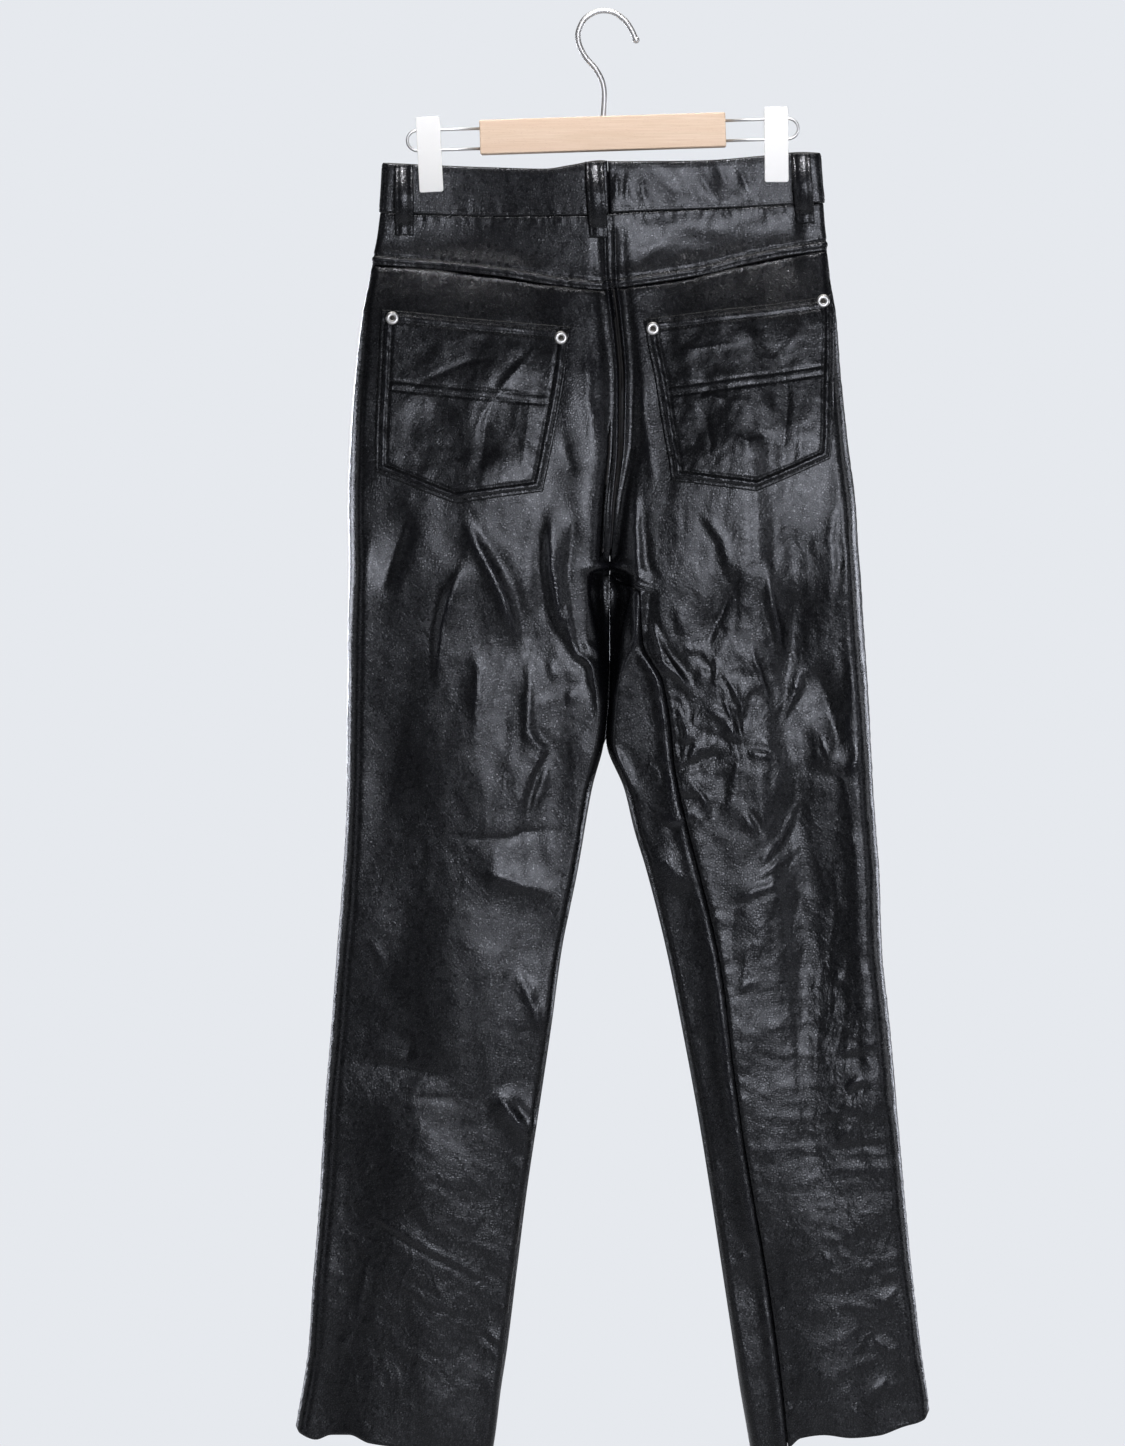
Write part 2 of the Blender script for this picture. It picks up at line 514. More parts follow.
# The arch's height, half width, rise above the crotch, half thickness and how far below the crotch it ends
ARCH_HEIGHT = 1.9
ARCH_WIDTH = 13.0
ARCH_RISE = 2.5
ARCH_THICKNESS = 2.6
ARCH_END = 4.0
BAND_HEIGHT = 42.0
# How far a yoke stands above its low seam, from where and over which distance, and where that seam puckers
YOKE_PROUD = 0.7
YOKE_PROUD_REACH = (1.0, 22.0)
YOKE_SEAM_PLACE = 5.0
YOKE_CALM_TOP = 6.0
# Where a pocket's rows pucker, and the distances from its edges over which its top rows fade in
POCKET_SEAM_PLACE = 6.0
POCKET_ROW_FADES = ((0.0, 4.0), (8.0, 4.0))
# A pocket starts a little inside the side seam, and stands off from this share of the side turn on
POCKET_INSET = 2.0
POCKET_WRAP_SHARE = 0.8

# Held edges lie calmer. At the side seam: the share that is left and the reach. At the inner edges and the
# pockets' edges: the reach. On a yoke: the reach at the side, and the share and the reach at the centre.
# On the band: half the clip's width, the reach beside the clip and the reach at the ends
SIDE_CALM = (0.15, 14.0)
INNER_CALM = 9.0
POCKET_CALM = 12.0
YOKE_CALM = (10.0, 0.4, 8.0)
BAND_CALM = (11.0, 8.0, 5.0)
# Distances over which the centre ridges fade in above the crotch and the inseam's work below it
RIDGE_FADE = 14.0
INSEAM_FADE = 20.0
# Heights beside the crotch over which the edges stand further apart
CROTCH_GAP_HEIGHT = 8.0
CROTCH_END = 1.0

# Soft ridges along an edge: height, distance inside the edge and half width. Beside the centre back seam
# they are the raised line, the dark strip between the two lines and the hollow outside
CENTRE_RIBS = ((2.0, 3.9, 1.4), (-1.5, 0, 2.6), (-1.8, 9.8, 4.2))
CENTRE_RIB_SHARE = 0.55
INSEAM_RIB = (1.4, 4.6, 3.4)
YOKE_RIB = (0.5, 4.8, 1.8)
POCKET_RIB = (0.45, 6.2, 2.0)
MOUTH_RIB = (0.35, 6, 2.0)
# The crown along the middle of a loop: height and reach
LOOP_CROWN = (0.5, 3.0)
# Rolled edges: width and depth
ROLLS = {
    "back leg top": (3.0, 0.9), "front leg top": (3.0, 0.8), "leg side": (2.0, 0.5),
    "back inseam": (3.0, 0.7), "front inseam": (1.8, 0.25),
    "yoke low": (1.6, 0.9), "yoke top": (1.5, 0.3), "yoke side": (2.0, 0.4),
    "band top": (2.2, 0.9), "band low": (1.3, 0.5), "band end": (1.4, 0.5),
    "pocket": (1.5, 0.9), "pocket mouth": (1.4, 0.7), "loop side": (1.3, 0.8), "loop end": (1.2, 0.6),
}
# Channels that rows of stitches pull in: width and depth
GROOVES = {
    "yoke low": (1.1, 0.8), "yoke high": (1.2, 0.9), "band low": (0.9, 0.5), "band top": (0.8, 0.3),
    "pocket": (1.1, 0.8), "pocket mouth": (1.1, 0.7), "pocket across": (1.2, 0.5),
    "loop side": (0.8, 0.4), "loop end": (1.4, 0.6),
}
# Ripples across a seam: reach, height and seed
PUCKERS = {
    "back leg top": (9, 0.35, 31), "back leg side": (8, 0.4, 35), "back inseam": (10, 0.5, 33),
    "front leg side": (8, 0.4, 36), "front inseam": (10, 0.5, 34),
    "yoke low": (7, 0.35, 41), "yoke top": (8, 0.35, 43), "band left": (9, 0.3, 53),
    "band right": (9, 0.3, 63), "pocket left": (7, 0.3, 75), "pocket right": (7, 0.3, 85),
    "loop": (4, 0.25, 91),
}
# Their waves: length along the seam, length away from it, and share
PUCKER_WAVES = ((5.5, 14.0, 1.0), (2.8, 9.0, 0.5))

# Rows of stitches, as distances inside the edges
YOKE_ROWS = (1.8, 7.8)
BAND_ROWS = {"bottom": 2.8, "top": 3.0}
LOOP_ROW = 2.4
LOOP_END_ROWS = (8.6, 10.4)
LOOP_END_GROOVE = 9.5
POCKET_ROWS_INSIDE = (3.0, 9.5)
POCKET_ROWS_TOP = (2.5, 9.5)
POCKET_ROWS_ACROSS = (58.0, 65.0)
# How far rows stop short of the edges at their ends
ROW_END = 3.0
SIDE_ROW_END = 2.0
MOUTH_ROW_END = 4.0
ACROSS_ROW_END = 11.0
LOOP_ROW_END = 2.0
# A thread's stitch as a share of the step, its width and its height, and how uneven the stitches are
THREAD_SIZE = (0.8, 1.0, 0.8)
THREAD_RISE = 0.25
THREAD_UNEVENNESS = 0.12
# Distance between the points of a row along an edge and of a row laid across the grid. A point of the
# latter rests on its nearest grid points, which weigh less the further they lie
ROW_SPACING = 1.2
LAID_SPACING = 1.5
NEAREST = 6
NEAREST_SOFTNESS = 0.4
# The fly's curved row on the left front: X, Z and how much lower a second row runs
FLY_WAY = (
    (-33, -172, 0), (-33, -245, 0), (-30, -266, 0.3), (-22, -283, 0.8), (-10, -294, 1.0), (-1, -298, 1.0),
)
FLY_ROWS = (0.0, 6.0)

# Unevenness of the smaller pieces, and how strongly it shows
YOKE_WAVES = (Wave(58, 30, 8, 0.5, 15), Wave(18, 14, -15, 0.22, 16), Wave(9, 9, 0, 0.07, 17))
YOKE_SWAY = {"left": 1.0, "right": 2.2}
BAND_SEED = {"left": 51, "right": 61}
BAND_WAVES = {
    "left": (Wave(40, 24, 0, 0.25, 0), Wave(12, 12, 0, 0.10, 1)),
    "right": (Wave(26, 28, 25, 0.6, 0), Wave(9, 20, 20, 0.35, 1), Wave(6, 7, 0, 0.12, 2)),
}
BAND_CREASES = creases_of(
    (3, 1, 0, 8, -128, 7, -158), (2.4, 0.8, 1, 17, -126, 15, -157), (2.4, 0.7, 0, 27, -128, 31, -158),
    (3, 0.7, 0, 70, -122, 88, -154), (3, -0.7, 0, 86, -120, 104, -150), (3, 0.7, 0, 104, -122, 118, -150),
)
POCKET_WAVES = (Wave(24, 32, 20, 0.8, 0), Wave(10, 12, -20, 0.3, 1), Wave(5, 5, 0, 0.1, 2))
POCKET_WRINKLE = {"left": 0.55, "right": 1.0}
POCKET_SEED = {"left": 71, "right": 81}
POCKET_SIZE = (154.0, 148.0)
POCKET_CREASES = {
    "left": creases_of(
        (3, -0.5, 0, -172, -322, -150, -300, -118, -286, -80, -278),
        (4, 0.7, 1, -52, -268, -78, -296, -100, -326, -110, -350),
        (8, -1.6, 0, -84, -296, -98, -330, -104, -385), (5, 0.8, 0, -60, -300, -66, -350, -72, -385),
    ),
    "right": creases_of(
        (3, 0.6, 0, 52, -276, 86, -272, 116, -268), (4, -0.9, 0, 66, -310, 80, -330, 84, -352, 80, -372),
        (3, 0.8, -1, 70, -318, 84, -312, 100, -318), (4, 0.8, 0, 96, -340, 112, -350, 132, -346),
        (6, -1.2, 0, 138, -262, 146, -310, 142, -366),
    ),
}

# Turned pieces: radius and height of each ring, from the middle of the top out and round underneath
RIVET_TURNING = (
    (0, 1.1), (0.8, 1.0), (1.2, 0.6), (1.6, 0.4), (1.9, 0.9), (2.2, 1.4), (2.7, 1.62), (3.6, 1.7), (4.4, 1.6),
    (4.9, 1.3), (5.25, 0.8), (5.4, 0.4), (5.4, -1.6), (0, -1.6),
)
# The radius of the shadowed well in its middle, its lift, and how far it is turned to face straight back
RIVET_WELL = 1.9
RIVET_LIFT = 0.5
RIVET_FACES = Vector((0.0, -1.6, 0.0))
BUTTON_TURNING = (
    (0, 2.75), (2.2, 2.75), (3.0, 2.6), (3.4, 2.35), (4.6, 2.35), (5.1, 2.6), (5.7, 3.3), (6.4, 3.6),
    (7.3, 3.5), (8.1, 3.0), (8.5, 2.4), (8.2, 1.9), (7.4, 1.6), (3.6, 1.5), (3.4, 1.2), (3.4, 0), (0, 0),
)
BUTTON_WELL = 4.9
BALL_RADIUS = 2.85
BALL_RINGS = 14
RIVET_STEPS = 48
BUTTON_STEPS = 56
BALL_STEPS = 32
SPRING_TURNS = 7
SPRING_STEPS = 16
SPRING_RADIUS = 2.3
SPRING_WIRE = 0.7
SPRING_INSET = 0.8
# Blocks: how far their long corners and their other edges are rounded, and in how many steps
BAR_ROUNDING = (1.4, 1.1)
CLIP_ROUNDING = (1.8, 0.5)
SLIDER_ROUNDING = (1.8, 0.45)
CORNER_STEPS = 5
EDGE_STEPS = 3
SHARP_ANGLE = math.radians(40)
WELD_DISTANCE = 0.00001

# Stage, in metres: the height that the camera sees at the garment and its middle as X and Z, and the floor.
# The sensor is in millimetres
SENSOR = 36.0
VIEW_HEIGHT = 1.1756
VIEW_CENTRE = (-0.0362, -0.5768)
CAMERA_REACH = 100.0
FLOOR_Z = -1.42
FLOOR_RADIUS = 2.1
FLOOR_STEPS = 96
# Lights: place, aim and size, share of the key light's power, colour, and spread in degrees
Light = namedtuple("Light", "name place aim size share color spread")
LIGHTS = rows_of(
    Light,
    ("Key light", (0.66, -3.6, -0.18), (0.0, 0.0, -0.4), (0.7, 0.7), 1.0, "#eef2ff", 180),
    ("Hanger light", (0.0, -1.3, 1.35), (0.0, 0.0, 0.02), (0.62, 0.05), 0.0172, "#f8f8ff", 12),
    ("Overhead light", (0.0, 1.5, 5.5), (0.0, 1.51, -1.0), (6.0, 5.0), 2.8, "#fdfcfb", 110),
    ("Back left light", (-2.7, -2.5, -0.6), (0.0, 0.0, -0.6), (0.5, 1.3), 0.014, "#eef2ff", 60),
    ("Back right light", (2.7, -2.5, -0.6), (0.0, 0.0, -0.6), (0.5, 1.3), 0.016, "#eef2ff", 60),
    ("Left strip", (-3.4, 0.2, -0.4), (0.0, 0.0, -0.6), (0.6, 1.8), 0.024, "#f2f5ff", 90),
    ("Right strip", (3.4, 0.2, -0.4), (0.0, 0.0, -0.6), (0.6, 1.8), 0.075, "#f2f5ff", 90),
    ("Front light", (-0.7, 3.6, -0.2), (0.0, 0.0, -0.5), (0.9, 0.9), 0.13, "#eef2ff", 60),
    ("Front left light", (-2.7, 2.5, -0.6), (0.0, 0.0, -0.6), (0.5, 1.3), 0.065, "#eef2ff", 60),
    ("Front right light", (2.7, 2.5, -0.6), (0.0, 0.0, -0.6), (0.5, 1.3), 0.065, "#eef2ff", 60),
)

# ---------------------------------------------------------------- curves and tables

def ease(value):
    """Smooth step from 0 at 0 to 1 at 1."""
    value = np.clip(value, 0.0, 1.0)
    return value * value * (3.0 - 2.0 * value)


def mix(first, second, share):
    """The value at a share of the way from the first to the second."""
    return first + (second - first) * share


class Curve:
    """A smooth curve through points in order of their places, which never swings past them."""

    def __init__(self, points):
        ordered = sorted(points)
        self.places = np.array([place for place, _ in ordered], float)
        self.values = np.array([value for _, value in ordered], float)
        steps = np.diff(self.values) / np.diff(self.places)
        before, after = steps[:-1], steps[1:]
        total = np.where(before + after == 0, 1.0, before + after)
        inner = np.where(before * after <= 0, 0.0, 2.0 * before * after / total)
        self.slopes = np.concatenate(([steps[0]], inner, [steps[-1]]))

    def __call__(self, place):
        place = np.clip(place, self.places[0], self.places[-1])
        i = np.clip(np.searchsorted(self.places, place, side="right") - 1, 0, len(self.places) - 2)
        width = self.places[i + 1] - self.places[i]
        s = (place - self.places[i]) / width
        rise = self.values[i + 1] - self.values[i]
        bend = (1 - s) * width * self.slopes[i] - s * width * self.slopes[i + 1]
        return self.values[i] + s * s * (3 - 2 * s) * rise + s * (1 - s) * bend


def column(rows, name):
    """The curve of one named column of a table over its heights."""
    return Curve([(row.z, getattr(row, name)) for row in rows])


OUTER = {leg: column(rows, "outer") for leg, rows in EDGES.items()}
FOLD_WIDTH = {leg: column(rows, "fold") for leg, rows in EDGES.items()}
INNER = {leg: column(rows, "inner") for leg, rows in EDGES.items()}
SIDE_TURN = column(DEPTHS, "side")
FACE_DEPTH = {"back": column(DEPTHS, "back"), "front": column(DEPTHS, "front")}
SEAM_DEPTH = {"back": column(SEAMS, "y_back"), "front": column(SEAMS, "y_front")}
BAND_TOP_CURVE = Curve(BAND_TOP)
BAND_SEAM_CURVE = Curve(BAND_SEAM)
YOKE_SEAM_CURVE = Curve(YOKE_SEAM)
HEM_CURVE = {leg: Curve(points) for leg, points in HEM.items()}
INSEAM_CURVE = Curve(INSEAM_RIGHT)
INWARD = {"left": 1.0, "right": -1.0}
OUTWARD = {"back": -1.0, "front": 1.0}


def bell(value, middle, width):
    """1 at the middle, falling softly to 0 on both sides."""
    return np.exp(-((value - middle) / width) ** 2)


def lengths_along(points):
    """Distance of each point of a line from its first."""
    return np.pad(np.cumsum(np.linalg.norm(np.diff(points, axis=0), axis=1)), (1, 0))


# ---------------------------------------------------------------- the tube of a leg

def inner_x(leg, back, z):
    """X of the centre seam or, below the crotch, of the leg's inner edge, with its gap."""
    middle = np.where(back, INNER[leg](z), CENTRE_FRONT_X)
    gap = mix(SEAM_GAP, THIGH_GAP, ease((CROTCH_Z - z) / THIGH_GAP_HEIGHT))
    above = middle - INWARD[leg] * SEAM_GAP / 2
    return np.where(z > CROTCH_Z, above, INNER[leg](z) - INWARD[leg] * gap / 2)


def inner_turn(leg, back, z):
    """Width over which the tube turns round its inner edge."""
    front_share = mix(FRONT_TURN_SHARE, 1.0, ease((CROTCH_Z - z) / FRONT_TURN_HEIGHT))
    return FOLD_WIDTH[leg](z) * np.where(back, 1.0, front_share)


def tube_x(leg, t, z):
    """X of a place on the tube."""
    back = t < 0
    share = np.abs(t)
    outer = OUTER[leg](z)
    inner = inner_x(leg, back, z)
    inward = INWARD[leg]
    side = SIDE_TURN(z)
    turn = inner_turn(leg, back, z)
    near_side = outer + inward * side * (1 - np.cos(math.pi / 2 * share / SIDE_SHARE))
    across = (share - SIDE_SHARE) / (INNER_SHARE - SIDE_SHARE)
    on_face = mix(outer + inward * side, inner - inward * turn, across)
    angle = math.pi / 2 * (1 - share) / (1 - INNER_SHARE)
    near_inner = inner - inward * turn * (1 - np.cos(angle))
    return np.where(share <= SIDE_SHARE, near_side, np.where(share <= INNER_SHARE, on_face, near_inner))


def share_at(leg, face, x, z):
    """The tube coordinate, without its sign, at X: the inverse of tube_x."""
    back = face == "back"
    side = SIDE_TURN(z)
    turn = inner_turn(leg, back, z)
    from_outer = (x - OUTER[leg](z)) * INWARD[leg]
    from_inner = (inner_x(leg, back, z) - x) * INWARD[leg]
    near_side = SIDE_SHARE * np.arccos(np.clip(1 - from_outer / side, -1, 1)) / (math.pi / 2)
    near_inner = 1 - (1 - INNER_SHARE) * np.arccos(np.clip(1 - from_inner / turn, -1, 1)) / (math.pi / 2)
    across = (from_outer - side) / (from_outer + from_inner - side - turn)
    on_face = mix(SIDE_SHARE, INNER_SHARE, across)
    return np.where(from_outer < side, near_side, np.where(from_inner < turn, near_inner, on_face))


def waist_depth(x):
    """Depth of the cloth at the waist: flat at the clips, bowed between and beside them."""
    left = CLIP_X["left"] + PINCH_FLAT
    right = CLIP_X["right"] - PINCH_FLAT
    between = BOW_MIDDLE * np.sin(math.pi * np.clip((x - left) / (right - left), 0, 1)) ** 2
    past = np.maximum(CLIP_X["left"] - PINCH_FLAT - x, x - CLIP_X["right"] - PINCH_FLAT)
    return PINCH_DEPTH + between + BOW_SIDE * ease(past / SIDE_RISE)


def fold_height(folds, x, z):
    """Sum of the large soft ridges and troughs at a place on one face."""
    total = np.zeros(np.shape(x))
    for fold in folds:
        along_x = fold.x1 - fold.x0
        along_z = fold.z1 - fold.z0
        length = math.hypot(along_x, along_z)
        along = ((x - fold.x0) * along_x + (z - fold.z0) * along_z) / length ** 2
        across = ((x - fold.x0) * along_z - (z - fold.z0) * along_x) / length
        ends = ease(along / FOLD_END_SHARE) * ease((1 - along) / FOLD_END_SHARE)
        total += FOLD_SHARE * fold.height * ends * bell(across, 0, fold.half_width)
    return total


def tube_point(leg, t, z):
    """Places on the outside of the tube, in millimetres. Past +1 it runs on round to the back."""
    t, z = np.broadcast_arrays(np.asarray(t, float), np.asarray(z, float))
    t = np.where(t > 1, t - 2, t)
    back = t < 0
    share = np.abs(t)
    outward = np.where(back, OUTWARD["back"], OUTWARD["front"])
    x = tube_x(leg, t, z)
    flat_share = np.sin(math.pi / 2 * np.clip(share / SIDE_SHARE, 0, 1))
    bow_share = np.sin(math.pi * np.clip((share - SIDE_SHARE) / (INNER_SHARE - SIDE_SHARE), 0, 1)) ** 2
    body = ease((PINCH_END_Z - z) / (PINCH_END_Z - BODY_START_Z))
    depth = np.where(back, FACE_DEPTH["back"](z), FACE_DEPTH["front"](z)) - FACE_BOW * (1 - bow_share)
    seam_depth = outward * np.where(back, SEAM_DEPTH["back"](z), SEAM_DEPTH["front"](z))
    from_inner = np.abs(inner_x(leg, back, z) - x)
    turn = inner_turn(leg, back, z)
    rounding = SEAM_ROUNDING * np.clip((z - CROTCH_Z) / SEAM_ROUNDING_HEIGHT, 0, 1)
    eased = np.hypot(from_inner, rounding) - rounding
    rest = 1 - np.clip(eased / (np.hypot(turn, rounding) - rounding), 0, 1)
    near = from_inner < turn
    inner_share = np.where(near, (1 - rest ** TURN_POWER) ** (1 / TURN_POWER), 1.0)
    depth = np.where(near, mix(seam_depth, depth, inner_share), depth)
    folds = np.where(back, fold_height(BACK_FOLDS, x, z), fold_height(FRONT_FOLDS, x, z))
    folds = folds * flat_share * ease(inner_share) * body
    y = mix(waist_depth(x), depth + folds, body) * flat_share
    return np.stack((x, outward * y, z), axis=-1)


def raised_point(leg, t, z, lift):
    """Places moved out from the tube along its normal by `lift`."""
    t, z = np.broadcast_arrays(np.asarray(t, float), np.asarray(z, float))
    ahead, behind = np.minimum(t + NORMAL_STEP, 1), np.maximum(t - NORMAL_STEP, -1)
    across = tube_point(leg, ahead, z) - tube_point(leg, behind, z)
    down = tube_point(leg, t, z - 1.0) - tube_point(leg, t, z + 1.0)
    normal = np.cross(across, down)
    normal /= np.linalg.norm(normal, axis=-1, keepdims=True)
    if leg == "right":
        normal = -normal
    sideways = np.array((-INWARD[leg], 0.0, 0.0))
    normal = np.where((np.abs(t) < NORMAL_STEP)[..., None], sideways, normal)
    return tube_point(leg, t, z) + normal * np.asarray(lift)[..., None]


def top_of(curve, back, x):
    """Height of a seam round the waist, whose front hangs a little lower than its back."""
    return curve(x) - np.where(back, 0.0, FRONT_DIP * np.clip(1 - (x / WAIST_HALF) ** 2, 0, 1))


def settled_height(leg, t, level, curve, top_level):
    """Height of a place whose row meets the inner edge at `level`, bent to the top seam and the hem."""
    z = level
    wrapped = np.where(t > 1, t - 2, t)
    back = wrapped < 0
    share = np.minimum(np.abs(t), 1.0)
    hem_lift = np.where(back, 0.0, FRONT_HEM_LIFT * 4 * share * (1 - share))
    top_share = np.clip((level - TOP_BLEND_Z) / (top_level - TOP_BLEND_Z), 0, 1)
    hem_share = np.clip((HEM_BLEND_Z - level) / (HEM_BLEND_Z - HEM_Z), 0, 1)
    for _ in range(SETTLING_ROUNDS):
        x = tube_x(leg, wrapped, z)
        top_shift = top_of(curve, back, x) - top_level
        hem_shift = HEM_CURVE[leg](x) + hem_lift - HEM_Z
        z = level + top_shift * top_share + hem_shift * hem_share
    return z


def inseam_share(z):
    """Tube coordinate, without its sign, where the right inseam lies on the back face."""
    on_face = INSEAM_RIGHT[0][0]
    start = share_at("right", "back", INSEAM_CURVE(on_face), np.float64(on_face))
    above = mix(1.0, start, np.clip((CROTCH_Z - z) / (CROTCH_Z - on_face), 0, 1))
    return np.where(z > on_face, above, share_at("right", "back", INSEAM_CURVE(z), z))


def drifted(share, end, level):
    """The tube coordinate of a right panel's column where the panel ends at `end` and not at 1."""
    start = DRIFT_START * (1 - np.clip((CROTCH_Z - level) / (CROTCH_Z - DRIFT_EVEN_Z), 0, 1))
    moved = mix(start, end, (share - start) / (1 - start))
    return np.where(share < start, share, moved)


# ---------------------------------------------------------------- creases and unevenness

def smooth_noise(u, v, seed):
    """Smooth random heights, from about -1 to 1, whose waves are a cell wide."""
    turns = np.random.default_rng(seed).uniform(0, math.tau, (LATTICE, LATTICE))
    i, j = np.floor(u).astype(int), np.floor(v).astype(int)
    fu, fv = u - i, v - j
    corner = []
    for a in (0, 1):
        for b in (0, 1):
            turn = turns[(i + a) % LATTICE, (j + b) % LATTICE]
            corner.append(np.cos(turn) * (fu - a) + np.sin(turn) * (fv - b))
    near, far = mix(corner[0], corner[1], ease(fv)), mix(corner[2], corner[3], ease(fv))
    return NOISE_GAIN * mix(near, far, ease(fu))


def turned_noise(wave, x, z, seed_shift=0):
    """The noise of a wave, stretched to its two lengths and turned."""
    angle = math.radians(wave.turn)
    u = (x * math.cos(angle) + z * math.sin(angle)) / wave.across
    v = (z * math.cos(angle) - x * math.sin(angle)) / wave.down
    return smooth_noise(u, v, wave.seed + seed_shift)


def swayed(x, z):
    """Places shifted a little, so that what is laid on them wanders."""
    for sway in SWAYS:
        u, v = x / sway.across, z / sway.down
        x = x + sway.reach * smooth_noise(u, v, sway.seed)
        z = z + sway.reach * smooth_noise(u, v, sway.seed + 1)
    return x, z


def crease_height(creases, x, z):
    """Sum of the hand-placed creases, each a ridge or trough on a broader swell along its way."""
    total = np.zeros(x.shape)
    for crease in creases:
        way = crease.path
        reach = CREASE_REACH * crease.width
        low, high = way.min(axis=0) - reach, way.max(axis=0) + reach
        near = (x > low[0]) & (x < high[0]) & (z > low[1]) & (z < high[1])
        if not near.any():
            continue
        px, pz = x[near], z[near]
        starts, steps = way[:-1], np.diff(way, axis=0)
        lengths = np.hypot(steps[:, 0], steps[:, 1])
        before = np.concatenate(([0.0], np.cumsum(lengths)))
        best = np.full(px.shape, np.inf)
        along = np.zeros(px.shape)
        side = np.zeros(px.shape)
        for start, step, length, done in zip(starts, steps, lengths, before):
            dx, dz = px - start[0], pz - start[1]
            share = np.clip((dx * step[0] + dz * step[1]) / length ** 2, 0, 1)
            distance = np.hypot(dx - share * step[0], dz - share * step[1])
            turn = np.sign(dx * step[1] - dz * step[0])
            closer = distance < best
            best = np.where(closer, distance, best)
            along = np.where(closer, done + share * length, along)
            side = np.where(closer, turn, side)
        along /= before[-1]
        ends = ease(along / CREASE_FADE) * ease((1 - along) / CREASE_FADE)
        width = crease.width * mix(CREASE_NARROW, 1.0, ends)
        swell, share = CREASE_SWELL
        sharp = np.maximum(1 - best / (CREASE_SHARP * width), 0) ** 2
        sharp = np.where(crease.width > BROAD_CREASE, bell(best, 0, width), sharp)
        ridge = mix(sharp, bell(best, 0, swell * width), share)
        behind = bell(best * side, crease.lean * TROUGH_PLACE * width, TROUGH_WIDTH * width)
        trough = TROUGH_SHARE * abs(crease.lean) * behind
        total[near] += crease.height * ends * (ridge - trough)
    return total


def wave_height(waves, x, z, seed_shift=0):
    """Sum of some waves."""
    return sum(wave.height * turned_noise(wave, x, z, seed_shift) for wave in waves)


def crumple_height(crumples, x, z, seed_shift=0):
    """Ridges and valleys along the lines where the noise is 0."""
    total = np.zeros(x.shape)
    for crumple in crumples:
        line = 1 - np.minimum(np.abs(turned_noise(crumple, x, z, seed_shift)) * CRUMPLE_GAIN, 1)
        total += crumple.height * line ** crumple.sharp
    return total


def patch_share(zone, x, z):
    """How strongly a kind of crumpling shows at a place, from 0 to 1."""
    total = np.full(x.shape, zone.least)
    for patch in zone.patches:
        apart = ((x - patch.x) / patch.across) ** 2 + ((z - patch.z) / patch.down) ** 2
        total += patch.strength * np.exp(-apart)
    return np.minimum(total, 1.0)


def face_relief(zones, creases, x, z, seed_shift):
    """Heights of one face, and how crumpled it is there."""
    x, z = swayed(x, z)
    height = crease_height(creases, x, z) + wave_height(BROAD_WAVES + FINE_WAVES, x, z, seed_shift)
    crumpled = np.zeros(x.shape)
    for zone in zones:
        share = patch_share(zone, x, z)
        height += crumple_height(zone.crumples, x, z) * share
        crumpled = np.maximum(crumpled, share)
    return height, crumpled


def relief(back, x, z):
    """Heights of the creases, waves and crumples of both faces of the legs, and how crumpled they are."""
    behind, behind_crumpled = face_relief(BACK_ZONES, BACK_CREASES, x, z, 0)
    ahead, ahead_crumpled = face_relief(FRONT_ZONES, FRONT_CREASES, x, z, FRONT_SEED_SHIFT)
    return np.where(back, behind, ahead), np.where(back, behind_crumpled, ahead_crumpled)


# ---------------------------------------------------------------- sheets

class Panel:
    """A sheet's outside as a grid of points in millimetres, rows down it and columns across."""

    def __init__(self, points, outward):
        self.points = points
        self.smooth = points.copy()
        normals = np.cross(np.gradient(points, axis=1), np.gradient(points, axis=0))
        normals /= np.maximum(np.linalg.norm(normals, axis=-1, keepdims=True), 1e-9)
        self.flipped = (normals * np.asarray(outward, float)).sum(axis=-1).mean() < 0
        self.normals = -normals if self.flipped else normals
        across = np.linalg.norm(np.diff(points, axis=1), axis=-1)
        down = np.linalg.norm(np.diff(points, axis=0), axis=-1)
        first = np.pad(np.cumsum(across, axis=1), ((0, 0), (1, 0)))
        top = np.pad(np.cumsum(down, axis=0), ((1, 0), (0, 0)))
        self.inside = {"first": first, "last": first[:, -1:] - first, "top": top, "bottom": top[-1:] - top}

    @property
    def x(self):
        return self.smooth[..., 0]

    @property
    def z(self):
        return self.smooth[..., 2]

    def lift(self, height):
        self.points = self.points + self.normals * np.asarray(height)[..., None]

    def area(self):
        """Area of the smooth sheet, without its creases, in square metres."""
        p = self.smooth * MM
        down, across = p[1:, :-1] - p[:-1, :-1], p[:-1, 1:] - p[:-1, :-1]
        up, back = p[:-1, 1:] - p[1:, 1:], p[1:, :-1] - p[1:, 1:]
        corners = [np.linalg.norm(np.cross(*sides), axis=-1) for sides in ((down, across), (up, back))]
        return 0.5 * (corners[0] + corners[1]).sum()

    def line(self, edge, distance, begin=0.0, end=0.0, lift=0.0):
        """Points along a line that runs inside an edge at a distance, cut short at its two ends."""
        grid = self.points + self.normals * lift
        inside = self.inside[edge]
        if edge in ("first", "last"):
            grid, inside = grid.transpose(1, 0, 2), inside.T
        if edge in ("last", "bottom"):
            grid, inside = grid[::-1], inside[::-1]
        places = []
        for j in range(grid.shape[1]):
            row = np.interp(distance, inside[:, j], np.arange(len(inside)))
            low = min(int(row), len(inside) - 2)
            places.append(mix(grid[low, j], grid[low + 1, j], row - low))
        return trimmed(np.array(places), begin, end)


def trimmed(points, begin, end):
    """The part of a line between two distances from its ends, as evenly spaced points."""
    lengths = lengths_along(points)
    count = max(int((lengths[-1] - begin - end) / ROW_SPACING), 2)
    wanted = np.linspace(begin, lengths[-1] - end, count)
    return np.stack([np.interp(wanted, lengths, points[:, axis]) for axis in range(3)], axis=1)


